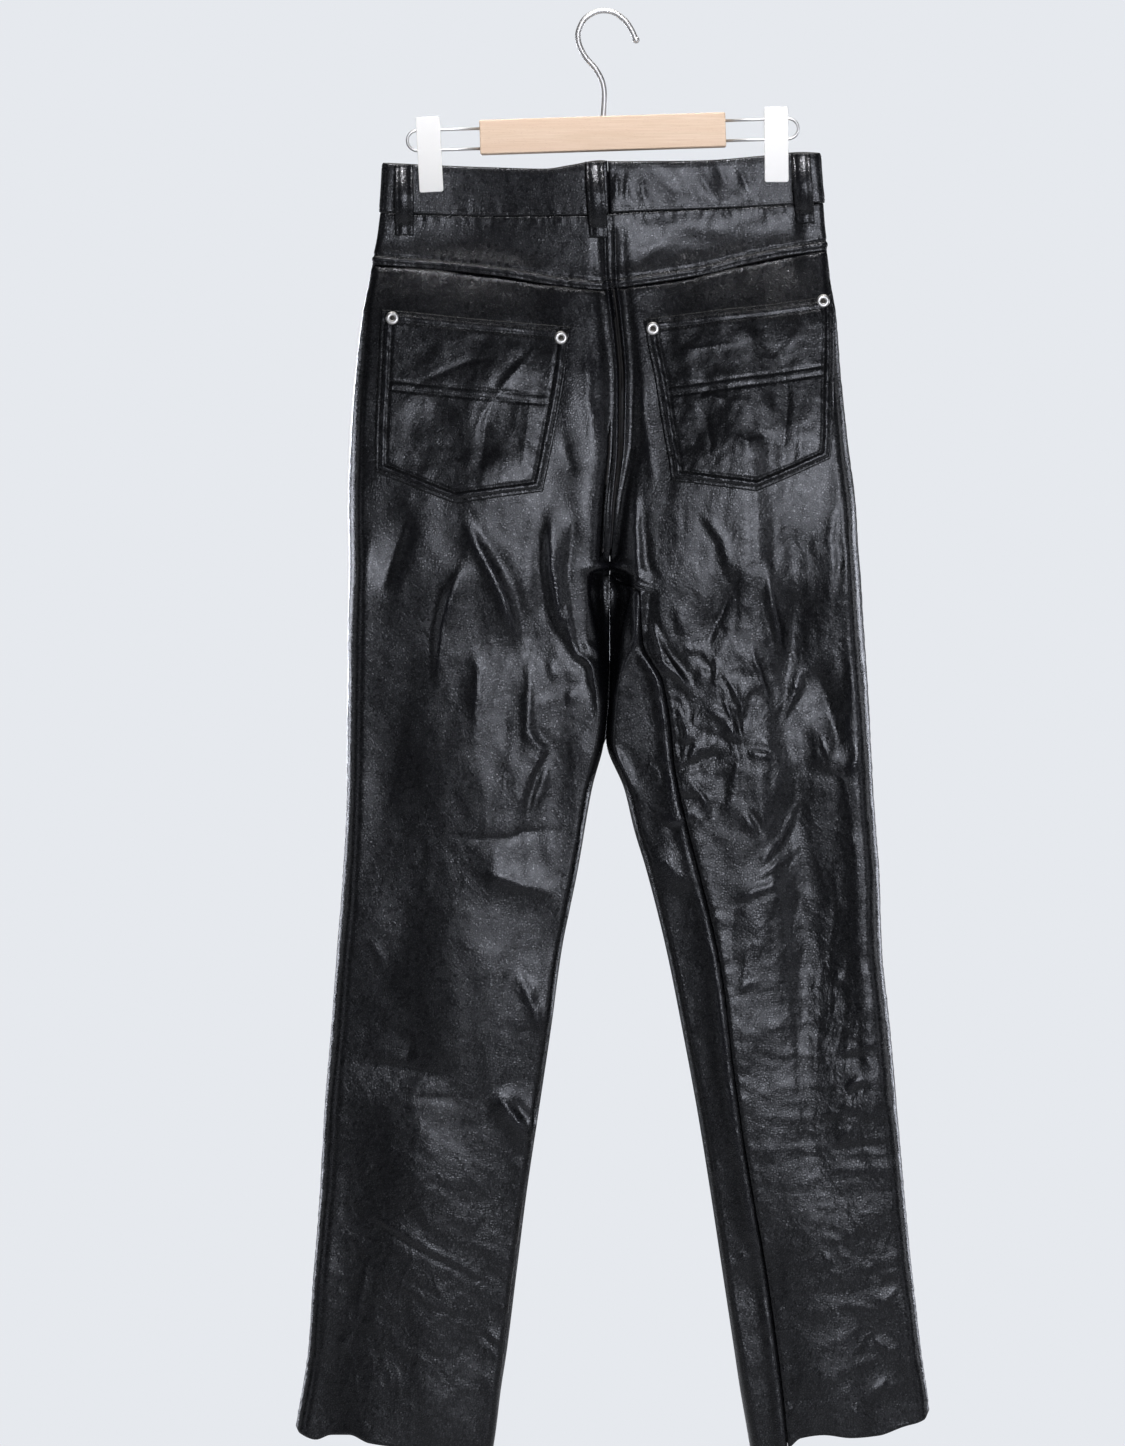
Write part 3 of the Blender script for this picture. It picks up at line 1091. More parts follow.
def rib(inside, height, place, width):
    """A soft ridge at a distance inside an edge."""
    return height * bell(inside, place, width)


def groove(inside, place, name):
    """A soft channel at a distance inside an edge, such as a row of stitches pulls in."""
    width, depth = GROOVES[name]
    return rib(inside, -depth, place, width)


def edge_roll(inside, name):
    """Rounds an edge down towards what it lies on."""
    width, depth = ROLLS[name]
    return -depth * (1 - ease(inside / width))


def pucker(inside, along, name):
    """Short uneven ripples that stand across a seam and fade away from it."""
    reach, height, seed = PUCKERS[name]
    ripple = sum(share * smooth_noise(along / length, inside / depth, seed + n)
                 for n, (length, depth, share) in enumerate(PUCKER_WAVES))
    return height * ripple * bell(inside, 0, reach)


def even_shares(leg, sign, z, spacing, end=1.0, extra=()):
    """Shares of the tube coordinate that stand evenly along its girth, and a few extra ones."""
    dense = np.linspace(1e-6, end, GIRTH_SAMPLES)
    length = lengths_along(tube_point(leg, sign * dense, z))
    shares = np.interp(np.linspace(0, length[-1], int(length[-1] / spacing) + 1), length, dense)
    return np.unique(np.concatenate((shares, extra)))


def blurred(values, rounds):
    """A grid of values, each mixed with its neighbours in rounds."""
    for _ in range(rounds):
        padded = np.pad(values, 1, mode="edge")
        values = (padded[:-2, 1:-1] + padded[2:, 1:-1] + padded[1:-1, :-2] + padded[1:-1, 2:]) / 4
    return values


def linked(name, data):
    """An object with some data, in the scene."""
    made = bpy.data.objects.new(name, data)
    bpy.context.scene.collection.objects.link(made)
    return made


def add_mesh(name, points, faces, finishes):
    """An object at the origin whose place is in its mesh. Its points are in millimetres."""
    mesh = bpy.data.meshes.new(name)
    mesh.from_pydata((np.asarray(points, float) * MM).tolist(), [], faces)
    mesh.update()
    mesh.shade_smooth()
    for coat in finishes:
        mesh.materials.append(coat)
    return linked(name, mesh)


def grid_faces(rows, columns, flipped):
    """The corner numbers of a grid's faces."""
    index = np.arange(rows * columns).reshape(rows, columns)
    corners = (index[:-1, :-1], index[:-1, 1:], index[1:, 1:], index[1:, :-1])
    if flipped:
        corners = corners[::-1]
    return np.stack(corners, axis=-1).reshape(-1, 4).tolist()


def make_sheet(node, panel, thickness, finishes, crumpled=PLAIN_CRUMPLED):
    """Gives a panel its thickness inwards in place of its CAD node, and declares its cut."""
    rows, columns = panel.points.shape[:2]
    faces = grid_faces(rows, columns, panel.flipped)
    made = add_mesh(node + "_leather", panel.points.reshape(-1, 3), faces, finishes)
    height = ((panel.points - panel.smooth) * panel.normals).sum(axis=-1)
    crest = height - blurred(height, CREST_ROUNDS)
    worn = np.clip(0.5 + crest / CREST_RANGE, 0, 1)
    for name, values in ((CREST, worn), (CRUMPLED, np.broadcast_to(crumpled, height.shape))):
        mark = made.data.attributes.new(name, "FLOAT", "POINT")
        mark.data.foreach_set("value", np.ascontiguousarray(values, dtype=np.float32).ravel())
    wall = made.modifiers.new("Wall", "SOLIDIFY")
    wall.thickness = thickness * MM
    wall.offset = -1
    wall.use_even_offset = False
    wall.material_offset = len(finishes) - 1
    wall.material_offset_rim = 0
    dress(made, "black_leather", node)
    area = panel.area()
    PANELS[node] = panel
    return made


def dress(made, slot, *nodes):
    """Ties a finished piece to the frame, in place of the CAD nodes that it stands for."""
    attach(made, BODY)
    if nodes:
        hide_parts(*nodes)
    return made


# ---------------------------------------------------------------- legs

def side_gap(points, back, share, level):
    """Keeps a panel's edge clear of the one across the side seam and the inseam."""
    outward = np.where(back, OUTWARD["back"], OUTWARD["front"])
    shift = np.where(share < SIDE_SHARE, SIDE_GAP / 2 * (1 - share / SIDE_SHARE), 0.0)
    gap = np.where(level > CROTCH_Z - CROTCH_GAP_HEIGHT, CROTCH_GAP, SEAM_GAP)
    shift = np.where((share >= 1) & (level < CROTCH_Z + CROTCH_END), gap / 2, shift)
    points[..., 1] += outward * shift
    return points


def levels_from(top, spacing):
    """The rows of a leg panel, from its top to the hem."""
    return np.linspace(top, HEM_Z, int((top - HEM_Z) / spacing) + 1)


def side_calm(inside):
    """How freely a piece creases beside the side seam, from a small share at the seam to 1."""
    least, reach = SIDE_CALM
    return mix(least, 1.0, ease(inside / reach))


def leg_relief(panel, back, calm_last):
    """Creases of a leg panel, calmed at its side seam and, by `calm_last`, at its other edge."""
    last_calm = mix(1.0, ease(panel.inside["last"] / INNER_CALM), calm_last)
    height, crumpled = relief(back, panel.x, panel.z)
    return height * side_calm(panel.inside["first"]) * last_calm, crumpled


def hollowed(points, leg, back):
    """Opens the hollow below the crotch, where the thighs' inner sides fall back to their fold."""
    x, z = points[..., 0], points[..., 2]
    apart = np.abs(x - inner_x(leg, back, z))
    start, span = HOLLOW_NARROW
    width = mix(*HOLLOW_WIDTH, ease((z - start) / span))
    below, blend = HOLLOW_START
    shown = ease((CROTCH_Z - below - z) / blend) * ease((z - HOLLOW_END_Z) / HOLLOW_FADE)
    share = back * shown * np.exp(-(apart / width) ** 4)
    hollow = np.maximum(points[..., 1], SEAM_DEPTH["back"](z) - HOLLOW_BEHIND)
    points[..., 1] = mix(points[..., 1], hollow, share)
    return points


def closed_thighs(points, share):
    """Presses the left front's inner side against the right leg, behind the fold, so that no light shows."""
    x, y, z = points[..., 0], points[..., 1], points[..., 2]
    low, high = TOUCH_BLENDS
    shown = ease((z - TOUCH_END_Z) / low) * ease((TOUCH_TOP_Z - z) / high) * (share > INNER_SHARE)
    near = bell(y, SEAM_DEPTH["front"](z) + TOUCH_DEPTH, TOUCH_REACH) * shown
    points[..., 0] = mix(x, np.maximum(x, inner_x("right", False, z) + TOUCH_OVERLAP), near)
    return points


def crotch_arch(panel, leg, back):
    """The roll of leather where the centre seam ends over the hollow."""
    apart = np.abs(panel.x - inner_x(leg, back, panel.z)) / ARCH_WIDTH
    return ARCH_HEIGHT * np.exp(-((panel.z - CROTCH_Z - ARCH_RISE) / ARCH_THICKNESS) ** 2 - apart ** 4)


def centre_back_ridge(panel):
    """The two raised lines beside the centre back seam, a dark strip between and hollows outside."""
    return sum(rib(panel.inside["last"], *row) for row in CENTRE_RIBS)


def make_back_leg(leg, finishes):
    """The back panel, from the side seam to the centre seam and, below, to the inner edge or the inseam."""
    levels = levels_from(BACK_TOP_Z, BACK_SPACING)
    columns = even_shares(leg, -1, LEG_GIRTH_Z, BACK_SPACING, extra=SEAM_COLUMNS)
    share, level = np.meshgrid(columns, levels)
    inseam = leg == "right"
    if inseam:
        end = np.where(level < CROTCH_Z, inseam_share(level) - INSEAM_GAP_SHARE, 1.0)
        t = -np.where(level < CROTCH_Z, drifted(share, end, level), share)
    else:
        t = -share
    z = settled_height(leg, t, level, YOKE_SEAM_CURVE, BACK_TOP_Z)
    z = np.where(level == BACK_TOP_Z, z - SEAM_GAP / 2, z)
    back = np.ones(t.shape, bool)
    points = hollowed(tube_point(leg, t, z), leg, back)
    panel = Panel(side_gap(points, back, -t, level), (0, -1, 0))
    calm_last = np.where(level > CROTCH_Z, 1.0, 0.0 if inseam else 1.0)
    height, crumpled = leg_relief(panel, back, calm_last)
    panel.lift(height)
    panel.lift(crotch_arch(panel, leg, back) * (level >= CROTCH_Z - ARCH_END))
    panel.lift(centre_back_ridge(panel) * ease((level - CROTCH_Z) / RIDGE_FADE))
    panel.lift(edge_roll(panel.inside["top"], "back leg top"))
    panel.lift(pucker(panel.inside["top"], panel.x, "back leg top"))
    panel.lift(edge_roll(panel.inside["first"], "leg side"))
    panel.lift(pucker(panel.inside["first"], panel.z, "back leg side"))
    if inseam:
        below = ease((CROTCH_Z - level) / INSEAM_FADE)
        panel.lift(below * edge_roll(panel.inside["last"], "back inseam"))
        panel.lift(below * pucker(panel.inside["last"], panel.z, "back inseam"))
    make_sheet("back_leg_" + leg, panel, LEATHER, finishes, crumpled)


def fly_lap(level):
    """How far the left front laps past the centre, and how far it is lifted there."""
    lap = FLY_LAP * ease((level - FLY_LAP_GONE_Z) / (FLY_LAP_END_Z - FLY_LAP_GONE_Z))
    lift = FLY_LIFT * ease((level - FLY_LIFT_GONE_Z) / (FLY_LAP_GONE_Z - FLY_LIFT_GONE_Z))
    return lap, lift


def lapped_points(share, z, level):
    """Places on the left front near the fly, drawn over the right front."""
    lap, lift = fly_lap(level)
    near = (share - INNER_SHARE) / (1 - INNER_SHARE)
    x = tube_x("left", share, z) + lap * ease(near)
    own = tube_point("left", share_at("left", "front", x, z), z)
    other = tube_point("right", share_at("right", "front", x, z), z)
    base = np.where(x < CENTRE_FRONT_X, own[..., 1], other[..., 1])
    return np.stack((x, base + lift * ease(near / FLY_LIFT_SHARE), z), axis=-1)


def make_front_leg(leg, finishes):
    """The front panel. The right one runs on round the inner edge to its inseam on the back."""
    levels = levels_from(FRONT_TOP_Z, FRONT_SPACING)
    wrapped = leg == "right"
    extra = WRAPPED_EXTRA if wrapped else SEAM_COLUMNS
    share, level = np.meshgrid(even_shares(leg, 1, LEG_GIRTH_Z, FRONT_SPACING, extra=extra), levels)
    if wrapped:
        end = np.where(level < CROTCH_Z, 2.0 - inseam_share(level) - INSEAM_GAP_SHARE, 1.0)
        t = np.where(level < CROTCH_Z, drifted(share, end, level), share)
    else:
        t = share
    z = settled_height(leg, t, level, BAND_SEAM_CURVE, FRONT_TOP_Z)
    z = np.where(level == FRONT_TOP_Z, z - SEAM_GAP / 2, z)
    back = t > 1
    points = hollowed(tube_point(leg, t, z), leg, back)
    points = side_gap(points, back, np.where(back, MID_FACE, t), level)
    if not wrapped:
        points = closed_thighs(points, share)
        lapped = (share > INNER_SHARE) & (level > FLY_LIFT_GONE_Z)
        points = np.where(lapped[..., None], lapped_points(share, z, level), points)
    panel = Panel(points, (0, 1, 0))
    calm = np.where(level > CROTCH_Z, 1.0, 0.0 if wrapped else 1.0)
    at_fold = ease(np.abs(panel.x - inner_x(leg, back, panel.z)) / INNER_CALM)
    height, crumpled = leg_relief(panel, back, calm)
    panel.lift(height * np.where(level > CROTCH_Z, 1.0, at_fold))
    panel.lift(edge_roll(panel.inside["top"], "front leg top"))
    panel.lift(edge_roll(panel.inside["first"], "leg side"))
    panel.lift(pucker(panel.inside["first"], panel.z, "front leg side"))
    if wrapped:
        below = ease((CROTCH_Z - level) / INSEAM_FADE)
        inside = panel.inside["last"]
        panel.lift(below * (rib(inside, *INSEAM_RIB) + edge_roll(inside, "front inseam")))
        panel.lift(below * pucker(inside, panel.z, "front inseam"))
    make_sheet("front_leg_" + leg, panel, LEATHER, finishes, crumpled)


# ---------------------------------------------------------------- yokes, waistbands, pockets and loops

def make_yoke(leg, finishes):
    """A yoke between the band's seam and the yoke seam, set proud of the leg panel below."""
    rows = np.linspace(0, 1, int((YOKE_TOP_Z - BACK_TOP_Z) / YOKE_SPACING))
    columns = even_shares(leg, -1, YOKE_GIRTH_Z, YOKE_SPACING, extra=SEAM_COLUMNS)
    share, level = np.meshgrid(columns, rows)
    z = mix(YOKE_TOP_Z, BACK_TOP_Z, level)
    for _ in range(SETTLING_ROUNDS):
        x = tube_x(leg, -share, z)
        z = mix(BAND_SEAM_CURVE(x) - SEAM_GAP / 2, YOKE_SEAM_CURVE(x) + SEAM_GAP / 2, level)
    back = np.ones(share.shape, bool)
    panel = Panel(side_gap(tube_point(leg, -share, z), back, share, z), (0, -1, 0))
    side_reach, least, centre_reach = YOKE_CALM
    centre_calm = mix(least, 1.0, ease(panel.inside["last"] / centre_reach))
    calm = ease(panel.inside["first"] / side_reach) * centre_calm
    panel.lift(wave_height(YOKE_WAVES, panel.x, panel.z) * calm * YOKE_SWAY[leg])
    down, up = panel.inside["top"], panel.inside["bottom"]
    start, reach = YOKE_PROUD_REACH
    panel.lift(YOKE_PROUD * (1 - ease((up - start) / reach)) + edge_roll(up, "yoke low"))
    panel.lift(groove(up, YOKE_ROWS[0], "yoke low") + groove(up, YOKE_ROWS[1], "yoke high"))
    panel.lift(rib(up, *YOKE_RIB))
    beside_seam = np.abs(up - YOKE_SEAM_PLACE)
    panel.lift(pucker(beside_seam, panel.x, "yoke low") + pucker(down, panel.x, "yoke top"))
    panel.lift(edge_roll(down, "yoke top") + edge_roll(panel.inside["first"], "yoke side"))
    panel.lift(centre_back_ridge(panel) * CENTRE_RIB_SHARE * ease((down - YOKE_CALM_TOP) / RIDGE_FADE))
    make_sheet("yoke_" + leg, panel, LEATHER, finishes)


def make_waistband(leg, finishes):
    """One strip from the centre back round the side to the centre front."""
    behind = -even_shares(leg, -1, BAND_GIRTH_Z, BAND_SPACING)[::-1]
    ahead = even_shares(leg, 1, BAND_GIRTH_Z, BAND_SPACING)[1:]
    columns = np.concatenate((behind, ahead))
    if leg == "left":
        columns = np.concatenate((columns, 1 + np.linspace(0, 1, int(BAND_LAP / BAND_SPACING) + 1)[1:]))
    t, level = np.meshgrid(columns, np.linspace(0, 1, int(BAND_HEIGHT / BAND_SPACING)))
    shown = np.clip(t, -1.0, 1.0)
    back = shown < 0
    z = np.full(t.shape, BAND_TOP_Z)
    for _ in range(SETTLING_ROUNDS):
        x = tube_x(leg, shown, z)
        lower = top_of(BAND_SEAM_CURVE, back, x) + BAND_SEAM_GAP
        z = mix(top_of(BAND_TOP_CURVE, back, x), lower, level)
    points = raised_point(leg, shown, z, np.full(t.shape, BAND_PROUD))
    if leg == "left":
        points[..., 1] += BAND_LAP_LIFT * ease((t - INNER_SHARE) / BAND_LIFT_SHARE) * ~back
        lap_x = CENTRE_FRONT_X + BAND_LAP * (t - 1.0)
        ahead = np.zeros(t.shape, bool)
        rise = top_of(BAND_SEAM_CURVE, ahead, lap_x) - top_of(BAND_SEAM_CURVE, ahead, CENTRE_FRONT_X)
        lap_y = waist_depth(lap_x) + BAND_PROUD + BAND_LAP_LIFT
        points = np.where((t > 1)[..., None], np.stack((lap_x, lap_y, z + rise), axis=-1), points)
    panel = Panel(points, (-INWARD[leg], 0, 0))
    down, up = panel.inside["top"], panel.inside["bottom"]
    ends = np.minimum(panel.inside["first"], panel.inside["last"])
    clip = np.abs(panel.x - CLIP_X[leg])
    clip_half, clip_reach, end_reach = BAND_CALM
    free = ease((clip - clip_half) / clip_reach) * ease(ends / end_reach)
    panel.lift(wave_height(BAND_WAVES[leg], panel.x, panel.z, BAND_SEED[leg]) * free)
    panel.lift(crease_height(BAND_CREASES, panel.x, panel.z) * free * back)
    panel.lift(edge_roll(down, "band top") + edge_roll(up, "band low") + edge_roll(ends, "band end"))
    panel.lift(groove(up, BAND_ROWS["bottom"], "band low") + groove(down, BAND_ROWS["top"], "band top"))
    panel.lift(pucker(up, panel.x, "band " + leg) * free)
    make_sheet("waistband_" + leg, panel, BAND_LEATHER, finishes[:1])


def pocket_lift(share):
    """How far a pocket stands off the panel: a little more where it wraps round the side turn."""
    return POCKET_LIFT + POCKET_SIDE_LIFT * (1 - ease(share / SIDE_SHARE - POCKET_WRAP_SHARE))


def make_pocket(leg, finishes):
    """A patch pocket, which takes over the creases of the panel that it is sewn on."""
    corners = POCKETS[leg]
    shares = [float(share_at(leg, "back", np.float64(x), np.float64(z))) for x, z in corners]
    top_outer, top_inner, low_inner, point, low_outer = shares
    z_top_outer, z_top_inner, z_low_inner, z_point, z_low_outer = [z for _, z in corners]
    at_point = (point - low_outer) / (low_inner - low_outer)
    across, down = np.meshgrid(*(np.linspace(0, 1, int(size / POCKET_SPACING)) for size in POCKET_SIZE))
    before = mix(z_low_outer, z_point, across / at_point)
    after = mix(z_point, z_low_inner, (across - at_point) / (1 - at_point))
    z = mix(mix(z_top_outer, z_top_inner, across), np.where(across < at_point, before, after), down)
    share = mix(mix(top_outer, top_inner, across), mix(low_outer, low_inner, across), down)
    panel = Panel(raised_point(leg, -share, z, pocket_lift(share) + LEATHER), (0, -1, 0))
    under = np.ones(share.shape, bool)
    panel.lift(relief(under, panel.x, panel.z)[0] * side_calm(panel.inside["first"] + POCKET_INSET))
    sides = np.minimum.reduce([panel.inside[edge] for edge in ("first", "last", "bottom")])
    down = panel.inside["top"]
    strength = POCKET_WRINKLE[leg]
    inner = ease(sides / POCKET_CALM)
    panel.lift(wave_height(POCKET_WAVES, panel.x, panel.z, POCKET_SEED[leg]) * inner * strength)
    panel.lift(crease_height(POCKET_CREASES[leg], panel.x, panel.z) * inner)
    panel.lift(edge_roll(sides, "pocket") + edge_roll(down, "pocket mouth"))
    for distance in POCKET_ROWS_INSIDE:
        panel.lift(groove(sides, distance, "pocket"))
    at_mouth, at_rows = [ease((sides - start) / reach) for start, reach in POCKET_ROW_FADES]
    for distance in POCKET_ROWS_TOP:
        panel.lift(groove(down, distance, "pocket mouth") * at_mouth)
    for distance in POCKET_ROWS_ACROSS:
        panel.lift(groove(down, distance, "pocket across") * at_rows)
    panel.lift(rib(sides, *POCKET_RIB) + rib(down, *MOUTH_RIB) * at_mouth)
    panel.lift(pucker(np.abs(sides - POCKET_SEAM_PLACE), panel.x + panel.z, "pocket " + leg))
    crumpled = POCKET_CRUMPLED * strength
    make_sheet("back_pocket_" + leg, panel, LEATHER, finishes, crumpled)


def make_belt_loop(node, loop, finishes):
    """A strip that bulges over the band and comes down onto the leather below."""
    outward = OUTWARD[loop.face]
    arch_start, arch_end = LOOP_ARCH
    settles_start, settles_end = LOOP_SETTLES
    rows = np.linspace(0, 1, int(abs(loop.z_low - loop.z_top) / LOOP_SPACING))
    across, down = np.meshgrid(np.linspace(-1, 1, int(LOOP_WIDTH / LOOP_SPACING)), rows)
    x = mix(loop.x_top, loop.x_low, down) + across * LOOP_WIDTH / 2
    z = mix(loop.z_top, loop.z_low, down)
    share = share_at(loop.leg, loop.face, x, z)
    along = (down - arch_start) / (arch_end - arch_start)
    bulge = LOOP_BULGE * LOOP_SLACK * np.sin(math.pi * np.clip(along, 0, 1))
    settled = ease((down - settles_start) / (settles_end - settles_start))
    lift = mix(BAND_PROUD + LOOP_GAP, LOOP_END_LIFT[loop.face], settled) + bulge + LOOP_LEATHER
    panel = Panel(raised_point(loop.leg, outward * share, z, lift), (0, outward, 0))
    sides = np.minimum(panel.inside["first"], panel.inside["last"])
    ends = np.minimum(panel.inside["top"], panel.inside["bottom"])
    panel.lift(edge_roll(sides, "loop side") + edge_roll(ends, "loop end"))
    at_end = groove(panel.inside["bottom"], LOOP_END_GROOVE, "loop end")
    panel.lift(groove(sides, LOOP_ROW, "loop side") + at_end)
    crown, start = LOOP_CROWN
    panel.lift(crown * ease((sides - start) / start))
    panel.lift(pucker(sides, panel.z, "loop"))
    make_sheet(node, panel, LOOP_LEATHER, finishes[:1])


# ---------------------------------------------------------------- sewing

def surface_line(panel, way, lift):
    """Points on a panel above a way given as X and Z, each taken from the grid points nearest to it."""
    way = np.array(way, float)
    lengths = lengths_along(way)
    wanted = np.linspace(0, lengths[-1], int(lengths[-1] / LAID_SPACING))
    places = np.stack([np.interp(wanted, lengths, way[:, axis]) for axis in (0, 1)], axis=1)
    grid = (panel.points + panel.normals * lift).reshape(-1, 3)
    line = []
    for place in places:
        apart = np.hypot(grid[:, 0] - place[0], grid[:, 2] - place[1])
        nearest = np.argpartition(apart, NEAREST)[:NEAREST]
        weight = 1 / (apart[nearest] + NEAREST_SOFTNESS) ** 2
        line.append((place[0], (grid[nearest, 1] * weight).sum() / weight.sum(), place[1]))
    return np.array(line)


def stitch_lines():
    """Every row of sewing, as points in millimetres."""
    lift = THREAD_SIZE[2] * THREAD_RISE
    lines = []
    for leg in ("left", "right"):
        yoke = PANELS["yoke_" + leg]
        lines += [yoke.line("bottom", distance, ROW_END, ROW_END, lift) for distance in YOKE_ROWS]
        band = PANELS["waistband_" + leg]
        for edge, distance in BAND_ROWS.items():
            lines.append(band.line(edge, distance, ROW_END, ROW_END, lift))
        pocket = PANELS["back_pocket_" + leg]
        for distance in POCKET_ROWS_INSIDE:
            for edge in ("first", "last"):
                lines.append(pocket.line(edge, distance, SIDE_ROW_END, distance, lift))
            lines.append(pocket.line("bottom", distance, distance, distance, lift))
        for distances, end in ((POCKET_ROWS_TOP, MOUTH_ROW_END), (POCKET_ROWS_ACROSS, ACROSS_ROW_END)):
            lines += [pocket.line("top", distance, end, end, lift) for distance in distances]
    for node in LOOPS:
        loop = PANELS[node]
        lines += [loop.line(edge, LOOP_ROW, ROW_END, ROW_END, lift) for edge in ("first", "last")]
        for distance in LOOP_END_ROWS:
            lines.append(loop.line("bottom", distance, LOOP_ROW_END, LOOP_ROW_END, lift))
    front = PANELS["front_leg_left"]
    for offset in FLY_ROWS:
        way = [(x - offset, z + offset * drop) for x, z, drop in FLY_WAY]
        lines.append(surface_line(front, way, lift))
    return lines


def tree_node(tree, kind, links=None, **settings):
    """Adds a node with its settings, and joins or sets its inputs by name or number."""
    made = tree.nodes.new(kind)
    for name, value in settings.items():
        setattr(made, name, value)
    for name, value in (links or {}).items():
        if isinstance(value, bpy.types.NodeSocket):
            tree.links.new(value, made.inputs[name])
        else:
            made.inputs[name].default_value = value
    return made


# The node and the settings of each small shape of size 1
UNIT_SHAPES = {
    "capsule": ("GeometryNodeMeshUVSphere", {"Segments": 6, "Rings": 4, "Radius": 0.5}),
    "tooth": ("GeometryNodeMeshCube", {"Size": (1.0, 1.0, 1.0)}),
}
REPEAT_SEED = 7


def repeat_tree(name, shape):
    """A tree that sets a small shape at even steps along a path: a thread capsule or a zip tooth."""
    tree = bpy.data.node_groups.new(name, "GeometryNodeTree")
    for given, kind in (("Path", "Geometry"), ("Step", "Float"), ("Size", "Vector"), ("Unevenness", "Float"),
                        ("Finish", "Material")):
        tree.interface.new_socket(given, in_out="INPUT", socket_type="NodeSocket" + kind)
    tree.interface.new_socket("Shape", in_out="OUTPUT", socket_type="NodeSocketGeometry")
    given = tree_node(tree, "NodeGroupInput").outputs
    steps = tree_node(tree, "GeometryNodeResampleCurve", {"Curve": given["Path"], "Length": given["Step"]},
                      mode="LENGTH")
    tangent = tree_node(tree, "GeometryNodeInputTangent").outputs[0]
    turn = tree_node(tree, "FunctionNodeAlignRotationToVector", {"Vector": tangent}, axis="X").outputs[0]
    unit = tree_node(tree, *UNIT_SHAPES[shape]).outputs[0]
    sized = tree_node(tree, "GeometryNodeTransform", {"Geometry": unit, "Scale": given["Size"]}).outputs[0]
    least = tree_node(tree, "ShaderNodeMath", {0: 1.0, 1: given["Unevenness"]}, operation="SUBTRACT")
    uneven = tree_node(tree, "FunctionNodeRandomValue",
                       {2: least.outputs[0], 3: 1.0, "Seed": REPEAT_SEED}, data_type="FLOAT")
    placed = tree_node(tree, "GeometryNodeInstanceOnPoints",
                       {"Points": steps.outputs[0], "Instance": sized, "Rotation": turn,
                        "Scale": uneven.outputs[1]}).outputs[0]
    real = tree_node(tree, "GeometryNodeRealizeInstances", {"Geometry": placed}).outputs[0]
    smooth = tree_node(tree, "GeometryNodeSetShadeSmooth", {"Geometry": real}).outputs[0]
    done = tree_node(tree, "GeometryNodeSetMaterial", {"Geometry": smooth, "Material": given["Finish"]})
    tree_node(tree, "NodeGroupOutput", {0: done.outputs[0]})
    return tree


def plain_mesh(made, name):
    """The evaluated object as a plain mesh at the origin, in place of the object."""
    bpy.context.view_layer.update()
    graph = bpy.context.evaluated_depsgraph_get()
    mesh = bpy.data.meshes.new_from_object(made.evaluated_get(graph))
    mesh.transform(made.matrix_world)
    bpy.data.objects.remove(made)
    mesh.name = name
    return linked(name, mesh)


def repeat_along(name, lines, tree, step, size, uneven, coat):
    """A plain mesh of one small shape repeated along lines."""
    data = bpy.data.curves.new(name + "_path", "CURVE")
    data.dimensions = "3D"
    for line in lines:
        path = data.splines.new("POLY")
        path.points.add(len(line) - 1)
        path.points.foreach_set("co", np.column_stack((line * MM, np.ones(len(line)))).ravel())
    made = linked(name + "_path", data)
    repeat = made.modifiers.new("Repeat", "NODES")
    repeat.node_group = tree
    wanted = {"Step": step * MM, "Size": [side * MM for side in size], "Unevenness": uneven, "Finish": coat}
    for socket in tree.interface.items_tree:
        if socket.in_out == "INPUT" and socket.name in wanted:
            repeat[socket.identifier] = wanted[socket.name]
    return plain_mesh(made, name)


# ---------------------------------------------------------------- turned and bent pieces

def turned_mesh(name, profile, steps, finishes, inner_radius=0.0):
    """A closed turned piece about Z from (radius, height) pairs. Faces inside a radius take finish 1."""
    points, rings = [], []
    for radius, height in profile:
        count = steps if radius > 0 else 1
        rings.append(list(range(len(points), len(points) + count)))
        for n in range(count):
            angle = math.tau * n / steps
            points.append((radius * math.cos(angle), radius * math.sin(angle), height))
    faces = []
    for upper, lower in zip(rings, rings[1:]):
        for n in range(steps):
            m = (n + 1) % steps
            if len(upper) == 1:
                faces.append((upper[0], lower[n], lower[m]))
            elif len(lower) == 1:
                faces.append((upper[m], upper[n], lower[0]))
            else:
                faces.append((upper[m], upper[n], lower[n], lower[m]))
    made = add_mesh(name, points, faces, finishes)
    if inner_radius:
        for face in made.data.polygons:
            face.material_index = int(face.center.xy.length < inner_radius * MM)
    return made


def settle(made, matrix):
    """Puts a piece in its place in its mesh, and leaves its object at the origin."""
    made.data.transform(matrix)
    made.data.update()


def wire_mesh(name, points, radius, steel, smooth=False, sides=3):
    """A bent wire with closed ends, along points in millimetres."""
    data = bpy.data.curves.new(name, "CURVE")
    data.dimensions = "3D"
    data.bevel_depth = radius * MM
    data.bevel_resolution = sides
    data.use_fill_caps = True
    data.resolution_u = WIRE_SMOOTHNESS
    path = data.splines.new("BEZIER" if smooth else "POLY")
    if smooth:
        path.bezier_points.add(len(points) - 1)
        for point, place in zip(path.bezier_points, points):
            point.co = Vector(place) * MM
            point.handle_left_type = point.handle_right_type = "AUTO"
    else:
        path.points.add(len(points) - 1)
        for point, place in zip(path.points, points):
            point.co = (*(Vector(place) * MM), 1.0)
    result = plain_mesh(linked(name + "_wire", data), name)
    weld(result)
    result.data.shade_smooth()
    result.data.materials.clear()
    result.data.materials.append(steel)
    return result


def weld(made):
    """Joins points that lie on each other, and turns the faces outwards."""
    shape = bmesh.new()
    shape.from_mesh(made.data)
    bmesh.ops.remove_doubles(shape, verts=shape.verts, dist=WELD_DISTANCE)
    bmesh.ops.recalc_face_normals(shape, faces=shape.faces)
    shape.to_mesh(made.data)
    shape.free()


